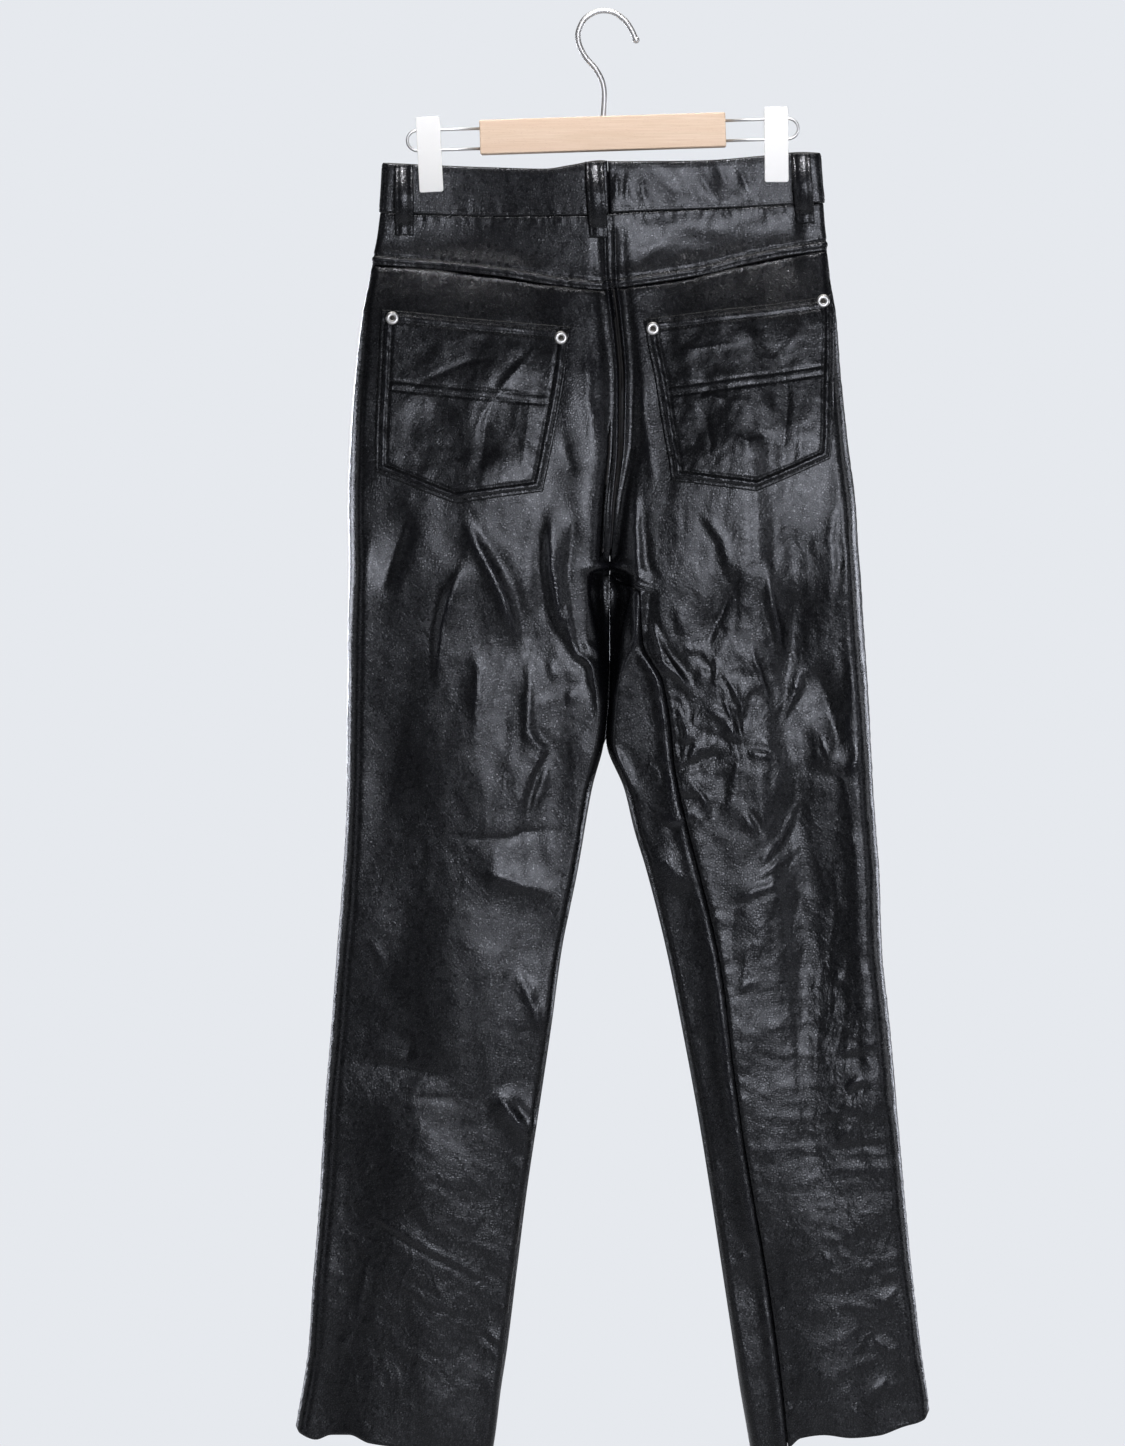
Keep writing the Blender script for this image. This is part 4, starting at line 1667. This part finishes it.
def rounded_block(name, size, rounding, coat):
    """A block whose corners along Y are rounded by the first length and its other edges by the second."""
    corner, edge = rounding
    shape = bmesh.new()
    bmesh.ops.create_cube(shape, size=1.0)
    bmesh.ops.scale(shape, vec=Vector(size) * MM, verts=shape.verts)
    along = [e for e in shape.edges if abs((e.verts[1].co - e.verts[0].co).normalized().y) > 0.9]
    bmesh.ops.bevel(shape, geom=along, offset=corner * MM, segments=CORNER_STEPS, profile=0.5, affect="EDGES")
    mesh = bpy.data.meshes.new(name)
    shape.to_mesh(mesh)
    shape.free()
    mesh.shade_smooth()
    mesh.materials.append(coat)
    made = linked(name, mesh)
    soften = made.modifiers.new("Edges", "BEVEL")
    soften.width = edge * MM
    soften.segments = EDGE_STEPS
    soften.limit_method = "ANGLE"
    soften.angle_limit = SHARP_ANGLE
    soften.harden_normals = True
    return made


def on_bar(x, z):
    """A place given along and above the middle of the hanger's bar."""
    return Matrix.Rotation(-HANGER_TILT, 3, "Y") @ Vector((x, 0, z)) + Vector(BAR_CENTRE)


# ---------------------------------------------------------------- finishes

def linear(code):
    """Turns an sRGB hex colour into linear values."""
    shades = [int(code[i:i + 2], 16) / 255 for i in (1, 3, 5)]
    return tuple(s / 12.92 if s <= 0.04045 else ((s + 0.055) / 1.055) ** 2.4 for s in shades)


def new_finish(name, color, **settings):
    """A material, its tree and its shader, with the shader's own sockets set."""
    made = bpy.data.materials.new(name)
    made.use_nodes = True
    shader = made.node_tree.nodes["Principled BSDF"]
    shader.inputs["Base Color"].default_value = (*color, 1.0)
    for socket, value in settings.items():
        shader.inputs[socket.replace("_", " ")].default_value = value
    made.diffuse_color = (*color, 1.0)
    return made, made.node_tree, shader


def object_place(tree, scale=(1.0, 1.0, 1.0), turn=(0.0, 0.0, 0.0)):
    """Object coordinates in millimetres, scaled and turned."""
    place = tree_node(tree, "ShaderNodeTexCoord").outputs["Object"]
    settings = {"Vector": place, "Scale": [side / MM for side in scale], "Rotation": turn}
    return tree_node(tree, "ShaderNodeMapping", settings).outputs[0]


def noise(tree, place, size, detail=3.0, roughness=0.55, distortion=0.0):
    """Noise whose features are `size` millimetres wide."""
    settings = {"Vector": place, "Scale": 1 / size, "Detail": detail, "Roughness": roughness,
                "Distortion": distortion}
    return tree_node(tree, "ShaderNodeTexNoise", settings).outputs["Fac"]


def ranged(tree, value, low, high, to_low=0.0, to_high=1.0):
    """A value whose range from low to high is stretched to another one."""
    settings = {"Value": value, "From Min": low, "From Max": high, "To Min": to_low, "To Max": to_high}
    return tree_node(tree, "ShaderNodeMapRange", settings).outputs[0]


def drive(tree, shader, **values):
    """Joins values to the shader's sockets."""
    for socket, value in values.items():
        tree.links.new(value, shader.inputs[socket.replace("_", " ")])


def blend_colors(tree, share, first, second):
    """Two colours, or sockets that give them, mixed by a share."""
    node = tree_node(tree, "ShaderNodeMix", {0: share}, data_type="RGBA")
    for number, value in ((6, first), (7, second)):
        if isinstance(value, bpy.types.NodeSocket):
            tree.links.new(value, node.inputs[number])
        else:
            node.inputs[number].default_value = (*value, 1.0)
    return node.outputs[2]


def bump(tree, shader, layers):
    """Stacks bumps on a shader: (height, distance in millimetres, strength) each."""
    normal = None
    for height, distance, strength in layers:
        settings = {"Height": height, "Distance": distance * MM, "Strength": strength}
        if normal is not None:
            settings["Normal"] = normal
        normal = tree_node(tree, "ShaderNodeBump", settings).outputs[0]
    drive(tree, shader, Normal=normal)


def cow_leather(settings):
    """Drum-dyed black cow nappa with an embossed, sprayed finish: near black, bluish, with a soft broad
    sheen, an embossed pebble grain, drawn a little coarser than its real millimetre and a half, fine
    wrinkles where it is crumpled, and paler, glossier worn crests."""
    made, tree, shader = new_finish("nappa_leather_black", settings.leather, Roughness=0.4, IOR=1.5,
                                    Coat_Weight=0.12, Coat_Roughness=0.22)
    place = object_place(tree)
    sway = noise(tree, place, 9.0, detail=2.0)
    pebbles = tree_node(tree, "ShaderNodeTexVoronoi",
                        {"Vector": place, "Scale": 1 / settings.grain, "Randomness": 1.0},
                        feature="DISTANCE_TO_EDGE").outputs["Distance"]
    pebbles = ranged(tree, pebbles, 0.0, 0.35)
    rolls = noise(tree, object_place(tree, (1.0, 1.0, 0.8)), 17.0, detail=3.0, roughness=0.45)
    small = noise(tree, place, 3.2, detail=2.0, roughness=0.5)
    wrinkles = tree_node(tree, "ShaderNodeTexNoise",
                         {"Vector": object_place(tree, (1.0, 1.0, 0.7), (0.0, 0.4, 0.0)),
                          "Scale": 1 / 15.0, "Detail": 4.0, "Roughness": 0.5, "Distortion": 0.4,
                          "Offset": 1.0, "Gain": 1.2},
                         noise_type="RIDGED_MULTIFRACTAL", normalize=False).outputs["Fac"]
    wrinkles = ranged(tree, wrinkles, 0.0, 2.2, 0.0, 2.2)
    crumpled = tree_node(tree, "ShaderNodeAttribute", attribute_name=CRUMPLED).outputs["Fac"]
    worn = tree_node(tree, "ShaderNodeAttribute", attribute_name=CREST).outputs["Fac"]
    crest = ranged(tree, worn, 0.52, 0.95)
    patch = ranged(tree, sway, 0.3, 0.7)
    faded = blend_colors(tree, patch, settings.leather, linear("#0d0d10"))
    dull = ranged(tree, small, 0.25, 0.75, 0.24, 0.33)
    gloss = tree_node(tree, "ShaderNodeMath", {0: crest, 1: 0.08}, operation="MULTIPLY").outputs[0]
    rough = tree_node(tree, "ShaderNodeMath", {0: dull, 1: gloss}, operation="SUBTRACT").outputs[0]
    drive(tree, shader, Base_Color=blend_colors(tree, crest, faded, linear("#1b1b1f")), Roughness=rough,
          Specular_IOR_Level=ranged(tree, pebbles, 0.0, 1.0, 0.3, 0.66))
    shown = ranged(tree, crumpled, 0.0, 1.0, 0.0, 0.5)
    bump(tree, shader, [(rolls, 0.9, 0.5), (wrinkles, 0.5, shown), (small, 0.3, 0.15), (pebbles, 0.13, 0.6)])
    return made


def flesh_side():
    """The suede inner side of the hide: matt grey-black with a short raised nap."""
    made, tree, shader = new_finish("suede_flesh_side", linear("#2b2927"), Roughness=0.95, IOR=1.45,
                                    Sheen_Weight=0.25, Sheen_Roughness=0.5)
    place = object_place(tree)
    nap = noise(tree, place, 1.2, detail=5.0, roughness=0.7)
    cloud = noise(tree, place, 26.0, detail=3.0)
    shade = blend_colors(tree, ranged(tree, cloud, 0.3, 0.7), linear("#242221"), linear("#35322f"))
    drive(tree, shader, Base_Color=shade)
    bump(tree, shader, [(nap, 0.4, 0.6)])
    return made


def bonded_thread():
    """Bonded polyester thread, tightly twisted: black with a slight gloss along its ply."""
    made, tree, shader = new_finish("bonded_thread_black", linear("#141416"), Roughness=0.42, IOR=1.55)
    ply = tree_node(tree, "ShaderNodeTexWave",
                    {"Vector": object_place(tree, turn=(0.6, 0.0, 0.6)), "Scale": 0.5, "Distortion": 1.0},
                    wave_type="BANDS").outputs["Fac"]
    bump(tree, shader, [(ply, 0.1, 0.5)])
    return made


def nickel(name, color, roughness):
    """Nickel-plated brass, tumbled before plating: bright, with faint handling marks."""
    made, tree, shader = new_finish(name, color, Metallic=1.0, Roughness=roughness)
    marks = noise(tree, object_place(tree), 1.6, detail=4.0, roughness=0.7)
    drive(tree, shader, Roughness=ranged(tree, marks, 0.3, 0.75, roughness * 0.7, roughness * 1.5))
    bump(tree, shader, [(marks, 0.05, 0.25)])
    return made


def drawn_steel():
    """Bright drawn steel wire with the fine lengthwise marks of the die."""
    made, tree, shader = new_finish("drawn_steel_wire", linear("#dedcd8"), Metallic=1.0, Roughness=0.42)
    marks = noise(tree, object_place(tree, (0.25, 1.0, 1.0)), 1.0, detail=3.0)
    drive(tree, shader, Roughness=ranged(tree, marks, 0.3, 0.7, 0.36, 0.5))
    return made


def beech(settings):
    """Planed, steamed beech under matt lacquer: pale pinkish tan, straight grain along the bar and the
    short darker ray flecks that mark beech."""
    made, tree, shader = new_finish("beech_matt_lacquer", settings.wood, Roughness=0.5, IOR=1.5)
    turn = (0.0, -HANGER_TILT, 0.0)
    along = object_place(tree, (0.035, 1.0, 1.0), turn)
    grain = noise(tree, along, 1.1, detail=6.0, roughness=0.6, distortion=0.3)
    bands = noise(tree, object_place(tree, (0.02, 0.3, 1.0), turn), 5.0, detail=3.0)
    flecks = object_place(tree, (0.22, 1.0, 1.5), turn)
    rays = tree_node(tree, "ShaderNodeTexVoronoi", {"Vector": flecks, "Scale": 1 / 1.1, "Randomness": 1.0},
                     feature="F1").outputs["Distance"]
    base = blend_colors(tree, ranged(tree, grain, 0.35, 0.65), linear("#dcbf9f"), linear("#ecd3b8"))
    shaded = blend_colors(tree, ranged(tree, bands, 0.3, 0.7, 0.0, 0.6), base, linear("#e3c3a6"))
    fleck = ranged(tree, rays, 0.06, 0.2, 0.55, 0.0)
    drive(tree, shader, Base_Color=blend_colors(tree, fleck, shaded, linear("#b98f6b")),
          Roughness=ranged(tree, grain, 0.3, 0.7, 0.55, 0.42))
    bump(tree, shader, [(grain, 0.08, 0.35)])
    return made


def clip_enamel(settings):
    """White stove enamel over pressed steel: smooth, slightly creamy, with a faint orange-peel ripple."""
    made, tree, shader = new_finish("stove_enamel_white", settings.enamel, Roughness=0.34, IOR=1.52,
                                    Coat_Weight=0.25, Coat_Roughness=0.12)
    ripple = noise(tree, object_place(tree), 3.5, detail=2.0)
    drive(tree, shader, Roughness=ranged(tree, ripple, 0.3, 0.7, 0.28, 0.4))
    bump(tree, shader, [(ripple, 0.06, 0.25)])
    return made


def zip_tape_finish():
    """Woven polyester tape with a herringbone, its ribs drawn about 1.4 mm apart so that they show."""
    made, tree, shader = new_finish("woven_zip_tape", linear("#111112"), Roughness=0.85, IOR=1.5,
                                    Sheen_Weight=0.15)
    ribs = [tree_node(tree, "ShaderNodeTexWave",
                      {"Vector": object_place(tree, turn=(0.0, angle, 0.0)), "Scale": 0.22},
                      wave_type="BANDS").outputs["Fac"] for angle in (0.8, -0.8)]
    weave = tree_node(tree, "ShaderNodeMath", {0: ribs[0], 1: ribs[1]}, operation="MAXIMUM").outputs[0]
    bump(tree, shader, [(weave, 0.3, 0.6)])
    return made


def studio_floor(settings):
    """Matt painted studio floor: even, pale and cool."""
    made, tree, shader = new_finish("painted_studio_floor", settings.floor, Roughness=0.8)
    wear = noise(tree, object_place(tree), 260.0, detail=3.0)
    drive(tree, shader, Roughness=ranged(tree, wear, 0.3, 0.7, 0.74, 0.86))
    return made


FINISHES = {}


def finish(key):
    """A finish by its key, made on first use from the sizes and colours in the panel."""
    if key not in FINISHES:
        settings = bpy.context.scene.leather_trousers
        makers = {
            "leather": lambda: cow_leather(settings.leather),
            "flesh": flesh_side,
            "thread": bonded_thread,
            "nickel": lambda: nickel("nickel_plate", linear("#e2dfd9"), 0.36),
            "shadowed_nickel": lambda: nickel("tarnished_nickel", linear("#57534e"), 0.42),
            "steel": drawn_steel,
            "beech": lambda: beech(settings.hanger),
            "enamel": lambda: clip_enamel(settings.hanger),
            "tape": zip_tape_finish,
            "floor": lambda: studio_floor(settings.stage),
        }
        FINISHES[key] = makers[key]()
    return FINISHES[key]


# ---------------------------------------------------------------- settings

class TrousersLeather(bpy.types.PropertyGroup):
    leather: FloatVectorProperty(name="Leather", description="Colour of the leather's sprayed finish",
                                 subtype="COLOR", size=3, min=0, max=1, default=linear("#08090b"))
    grain: FloatProperty(name="Grain", description="Width of a pebble of the embossed grain, in millimetres",
                         default=1.9, min=0.5, max=5)
    stitch: FloatProperty(name="Stitch", description="Length of one stitch, in millimetres",
                          default=3.3, min=1.5, max=6)


class TrousersHanger(bpy.types.PropertyGroup):
    wood: FloatVectorProperty(name="Wood", description="Colour of the bar's beech", subtype="COLOR", size=3,
                              min=0, max=1, default=linear("#e6cbb0"))
    enamel: FloatVectorProperty(name="Enamel", description="Colour of the clips", subtype="COLOR", size=3,
                                min=0, max=1, default=linear("#f3f1ea"))
    wire: FloatProperty(name="Wire", description="Thickness of the clip wires, in millimetres",
                        default=2.4, min=1, max=4)


class TrousersStage(bpy.types.PropertyGroup):
    floor: FloatVectorProperty(name="Floor", description="Colour of the floor", subtype="COLOR", size=3,
                               min=0, max=1, default=linear("#e4e6ea"))
    backdrop: FloatVectorProperty(name="Backdrop", description="Colour of the air behind the garment",
                                  subtype="COLOR", size=3, min=0, max=1, default=linear("#e6e9ee"))
    fill: FloatProperty(name="Fill", description="Strength of the even light from all round",
                        default=0.05, min=0, max=3)
    key: FloatProperty(name="Key light", description="Power of the large soft light, in watts",
                       default=40.0, min=0, max=2000)
    lens: FloatProperty(name="Lens", description="Focal length of the camera, in millimetres",
                        default=160.0, min=20, max=400)


class TrousersSettings(bpy.types.PropertyGroup):
    leather: PointerProperty(type=TrousersLeather)
    hanger: PointerProperty(type=TrousersHanger)
    stage: PointerProperty(type=TrousersStage)


# ---------------------------------------------------------------- operators

class TROUSERS_OT_legs(bpy.types.Operator):
    """Cut and hang the four leg panels, with their folds and creases"""

    bl_idname = "trousers.legs"
    bl_label = "Leg panels"

    def execute(self, context):
        finishes = (finish("leather"), finish("flesh"))
        for leg in ("left", "right"):
            make_back_leg(leg, finishes)
            make_front_leg(leg, finishes)
        return {"FINISHED"}


class TROUSERS_OT_yokes(bpy.types.Operator):
    """Set the two back yokes between the leg panels and the waistband"""

    bl_idname = "trousers.yokes"
    bl_label = "Back yokes"

    def execute(self, context):
        for leg in ("left", "right"):
            make_yoke(leg, (finish("leather"), finish("flesh")))
        return {"FINISHED"}


class TROUSERS_OT_waistbands(bpy.types.Operator):
    """Run the two halves of the waistband round the top"""

    bl_idname = "trousers.waistbands"
    bl_label = "Waistband"

    def execute(self, context):
        for leg in ("left", "right"):
            make_waistband(leg, (finish("leather"),))
        return {"FINISHED"}


class TROUSERS_OT_pockets(bpy.types.Operator):
    """Lay the two patch pockets on the back panels"""

    bl_idname = "trousers.pockets"
    bl_label = "Back pockets"

    def execute(self, context):
        for leg in ("left", "right"):
            make_pocket(leg, (finish("leather"), finish("flesh")))
        return {"FINISHED"}


class TROUSERS_OT_belt_loops(bpy.types.Operator):
    """Arch the five belt loops over the waistband"""

    bl_idname = "trousers.belt_loops"
    bl_label = "Belt loops"

    def execute(self, context):
        for node, loop in LOOPS.items():
            make_belt_loop(node, loop, (finish("leather"),))
        return {"FINISHED"}


class TROUSERS_OT_sewing(bpy.types.Operator):
    """Sew the visible rows of stitches along the seams, pockets and loops"""

    bl_idname = "trousers.sewing"
    bl_label = "Rows of stitches"

    def execute(self, context):
        if "waistband_right" not in PANELS:
            raise RuntimeError("the leather pieces are cut before they are sewn")
        step = context.scene.leather_trousers.leather.stitch
        tree = repeat_tree("Stitches", "capsule")
        size = (step * THREAD_SIZE[0], THREAD_SIZE[1], THREAD_SIZE[2])
        made = repeat_along("topstitching", stitch_lines(), tree, step, size, THREAD_UNEVENNESS,
                            finish("thread"))
        dress(made, "black_leather")
        return {"FINISHED"}


class TROUSERS_OT_fasteners(bpy.types.Operator):
    """Set the pocket rivets and the waist button"""

    bl_idname = "trousers.fasteners"
    bl_label = "Rivets and button"

    def execute(self, context):
        metals = (finish("nickel"), finish("shadowed_nickel"))
        for node, (leg, x, z) in RIVETS.items():
            made = turned_mesh(node + "_cap", RIVET_TURNING, RIVET_STEPS, metals, RIVET_WELL)
            panel = PANELS["back_pocket_" + leg]
            apart = np.hypot(panel.points[..., 0] - x, panel.points[..., 2] - z)
            row, at = np.unravel_index(apart.argmin(), apart.shape)
            normal = (Vector(panel.normals[row, at]) + RIVET_FACES).normalized()
            base = Vector(panel.points[row, at]) + normal * RIVET_LIFT
            settle(made, Matrix.Translation(base * MM) @ normal.to_track_quat("Z", "Y").to_matrix().to_4x4())
            dress(made, "silver_metal", node)
        made = turned_mesh("waist_button_cap", BUTTON_TURNING, BUTTON_STEPS, metals, BUTTON_WELL)
        x, z = BUTTON_PLACE
        depth = float(waist_depth(np.float64(x))) + BAND_PROUD + BAND_LAP_LIFT + SEAM_GAP
        settle(made, Matrix.Translation(Vector((x, depth, z)) * MM) @ Matrix.Rotation(-math.pi / 2, 4, "X"))
        dress(made, "silver_metal", "waist_button")
        return {"FINISHED"}


class TROUSERS_OT_zip(bpy.types.Operator):
    """Set the zip's tape, its two rows of teeth and its slider behind the fly"""

    bl_idname = "trousers.zip"
    bl_label = "Zip"

    def execute(self, context):
        rows = np.linspace(0, 1, int((ZIP_TOP_Z - ZIP_LOW_Z) / ZIP_SPACING))
        across, down = np.meshgrid(np.linspace(-1, 1, ZIP_COLUMNS), rows)
        z = mix(ZIP_TOP_Z, ZIP_LOW_Z, down)
        x = CENTRE_FRONT_X + across * ZIP_WIDTH / 2
        places = [tube_point(leg, share_at(leg, "front", x, z), z) for leg in ("left", "right")]
        points = np.where((x < CENTRE_FRONT_X)[..., None], places[0], places[1]) - np.array((0, ZIP_DEPTH, 0))
        panel = Panel(points, (0, 1, 0))
        faces = grid_faces(*points.shape[:2], panel.flipped)
        tape = add_mesh("zip_tape_cloth", panel.points.reshape(-1, 3), faces, [finish("tape")])
        wall = tape.modifiers.new("Wall", "SOLIDIFY")
        wall.thickness = ZIP_TAPE * MM
        wall.offset = -1
        dress(tape, "zip_tape", "zip_tape")
        middle = panel.points[:, ZIP_COLUMNS // 2] - np.array((0, ZIP_TAPE + TOOTH_LIFT, 0))
        lines = [middle + np.array((shift, 0, drop)) for shift, drop in TOOTH_ROWS]
        tree = repeat_tree("Zip teeth", "tooth")
        teeth = repeat_along("zip_teeth", lines, tree, TOOTH_STEP, TOOTH_SIZE, TOOTH_UNEVENNESS,
                             finish("nickel"))
        dress(teeth, "silver_metal")
        low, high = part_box("zip_slider")
        middle = (low + high) / 2
        slider = rounded_block("zip_slider_body", (high - low) / MM, SLIDER_ROUNDING, finish("nickel"))
        settle(slider, Matrix.Translation(middle))
        dress(slider, "silver_metal", "zip_slider")
        return {"FINISHED"}


class TROUSERS_OT_hanger(bpy.types.Operator):
    """Make the wooden bar, its hook, the clip wires and the two enamelled clips"""

    bl_idname = "trousers.hanger"
    bl_label = "Clip hanger"

    def execute(self, context):
        settings = context.scene.leather_trousers.hanger
        tilt = Matrix.Rotation(-HANGER_TILT, 4, "Y")
        bar = rounded_block("hanger_bar_beech", BAR_SIZE, BAR_ROUNDING, finish("beech"))
        settle(bar, Matrix.Translation(Vector(BAR_CENTRE) * MM) @ tilt)
        dress(bar, "beech_wood", "hanger_bar")
        foot = on_bar(0, BAR_SIZE[2] / 2 - 2.0)
        places = [(HOOK_POINTS[0][0], 0, foot.z)] + [(x, 0, z) for x, z in HOOK_POINTS]
        hook = wire_mesh("hanger_hook_wire", places, HOOK_RADIUS, finish("steel"), smooth=True, sides=6)
        tip = Vector((HOOK_POINTS[-1][0], 0, HOOK_POINTS[-1][1]))
        angles = [math.pi * n / BALL_RINGS for n in range(BALL_RINGS + 1)]
        rings = [(BALL_RADIUS * math.sin(angle), BALL_RADIUS * math.cos(angle)) for angle in angles]
        rings[0], rings[-1] = (0, BALL_RADIUS), (0, -BALL_RADIUS)
        ball = turned_mesh("hanger_hook_ball", rings, BALL_STEPS, [finish("steel")])
        settle(ball, Matrix.Translation(tip * MM))
        dress(hook, "steel_wire", "hanger_hook")
        dress(ball, "steel_wire")
        for side in ("left", "right"):
            self.make_wire(side, settings.wire / 2)
            self.make_clip(side)
        return {"FINISHED"}

    def make_wire(self, side, radius):
        sign = -1 if side == "left" else 1
        start = BAR_SIZE[0] / 2 - WIRE_SEAT
        bend = WIRE_REACH - WIRE_BEND
        route = [(start, WIRE_BEND), ((start + bend) / 2, WIRE_BEND)]
        for n in range(WIRE_BEND_STEPS + 1):
            angle = math.pi * n / WIRE_BEND_STEPS
            route.append((bend + WIRE_BEND * math.sin(angle), WIRE_BEND * math.cos(angle)))
        route += [((start + bend) / 2, -WIRE_BEND), (start, -WIRE_BEND)]
        points = [on_bar(sign * x, z + WIRE_DROP) for x, z in route]
        node = "hanger_wire_" + side
        dress(wire_mesh(node + "_bent", points, radius, finish("steel"), sides=4), "steel_wire", node)

    def make_clip(self, side):
        x, z, tilt = CLIP_PLACES[side]
        jaw = PINCH_DEPTH + BAND_PROUD + SEAM_GAP + CLIP_SIZE[1] / 2
        for face in ("back", "front"):
            node = "clip_%s_%s" % (side, face)
            plate = rounded_block(node + "_plate", CLIP_SIZE, CLIP_ROUNDING, finish("enamel"))
            place = Vector((x, OUTWARD[face] * jaw, z)) * MM
            settle(plate, Matrix.Translation(place) @ Matrix.Rotation(tilt, 4, "Y"))
            dress(plate, "white_enamel", node)
        centre = on_bar(x - BAR_CENTRE[0], WIRE_DROP)
        steps = SPRING_TURNS * SPRING_STEPS
        end = SPRING_LENGTH / 2 - SPRING_INSET
        turns = []
        for n in range(steps + 1):
            angle = math.tau * n / SPRING_STEPS
            out, up = SPRING_RADIUS * math.cos(angle), SPRING_RADIUS * math.sin(angle)
            turns.append(centre + Vector((mix(-end, end, n / steps), out, up)))
        node = "clip_%s_spring" % side
        dress(wire_mesh(node + "_coil", turns, SPRING_WIRE, finish("steel"), sides=1), "steel_wire", node)


class TROUSERS_OT_stage(bpy.types.Operator):
    """Set the pale floor, the backdrop, the soft lights and the camera"""

    bl_idname = "trousers.stage"
    bl_label = "Stage, light and camera"

    def execute(self, context):
        settings = context.scene.leather_trousers.stage
        self.make_floor()
        self.make_world(context, settings)
        for light in LIGHTS:
            self.make_light(light, settings.key)
        lens = bpy.data.cameras.new("Camera")
        lens.lens = settings.lens
        lens.sensor_width = SENSOR
        lens.clip_end = CAMERA_REACH
        camera = linked("Camera", lens)
        distance = VIEW_HEIGHT * settings.lens / SENSOR
        camera.location = Vector((VIEW_CENTRE[0], -distance, VIEW_CENTRE[1]))
        camera.rotation_euler = (math.pi / 2, 0, 0)
        context.scene.camera = camera
        context.scene.view_settings.view_transform = "Standard"
        return {"FINISHED"}

    def make_floor(self):
        shape = bmesh.new()
        bmesh.ops.create_circle(shape, cap_ends=True, segments=FLOOR_STEPS, radius=FLOOR_RADIUS)
        mesh = bpy.data.meshes.new("studio_floor")
        shape.to_mesh(mesh)
        shape.free()
        mesh.transform(Matrix.Translation((0, 0, FLOOR_Z)))
        mesh.materials.append(finish("floor"))
        linked("studio_floor", mesh)

    def make_world(self, context, settings):
        """Pale air behind, which gives the leather an even but weaker light from all round."""
        world = bpy.data.worlds.new("Studio")
        world.use_nodes = True
        tree = world.node_tree
        tree.nodes.clear()
        color = (*settings.backdrop, 1.0)
        seen = tree_node(tree, "ShaderNodeBackground", {"Color": color, "Strength": 1.0})
        lit = tree_node(tree, "ShaderNodeBackground", {"Color": color, "Strength": settings.fill})
        direct = tree_node(tree, "ShaderNodeLightPath").outputs["Is Camera Ray"]
        both = tree_node(tree, "ShaderNodeMixShader", {0: direct, 1: lit.outputs[0], 2: seen.outputs[0]})
        tree_node(tree, "ShaderNodeOutputWorld", {"Surface": both.outputs[0]})
        context.scene.world = world

    def make_light(self, light, key):
        data = bpy.data.lights.new(light.name, "AREA")
        data.shape = "RECTANGLE"
        data.size, data.size_y = light.size
        data.energy = key * light.share
        data.color = linear(light.color)
        data.spread = math.radians(light.spread)
        lamp = linked(light.name, data)
        lamp.location = light.place
        lamp.visible_camera = False
        aim = Vector(light.aim) - Vector(light.place)
        lamp.rotation_euler = aim.to_track_quat("-Z", "Y").to_euler()


class TROUSERS_PT_panel(bpy.types.Panel):
    """Lists the sizes, the colours and the steps in their order"""

    bl_label = "Leather trousers"
    bl_idname = "TROUSERS_PT_panel"
    bl_space_type = "VIEW_3D"
    bl_region_type = "UI"
    bl_category = "Trousers"

    def draw(self, context):
        settings = context.scene.leather_trousers
        for group, names in ((settings.leather, ("leather", "grain", "stitch")),
                             (settings.hanger, ("wood", "enamel", "wire")),
                             (settings.stage, ("floor", "backdrop", "fill", "key", "lens"))):
            box = self.layout.box()
            for name in names:
                box.prop(group, name)
        for step in STEPS:
            self.layout.operator(step.bl_idname)


STEPS = (
    TROUSERS_OT_legs, TROUSERS_OT_yokes, TROUSERS_OT_waistbands, TROUSERS_OT_pockets, TROUSERS_OT_belt_loops,
    TROUSERS_OT_sewing, TROUSERS_OT_fasteners, TROUSERS_OT_zip, TROUSERS_OT_hanger, TROUSERS_OT_stage,
)
CLASSES = (TrousersLeather, TrousersHanger, TrousersStage, TrousersSettings) + STEPS + (TROUSERS_PT_panel,)


def register():
    for cls in CLASSES:
        bpy.utils.register_class(cls)
    bpy.types.Scene.leather_trousers = PointerProperty(type=TrousersSettings)


def unregister():
    del bpy.types.Scene.leather_trousers
    for cls in reversed(CLASSES):
        bpy.utils.unregister_class(cls)


def main():
    register()
    for step in STEPS:
        getattr(bpy.ops.trousers, step.bl_idname.split(".")[1])()


if __name__ == "__main__":
    main()
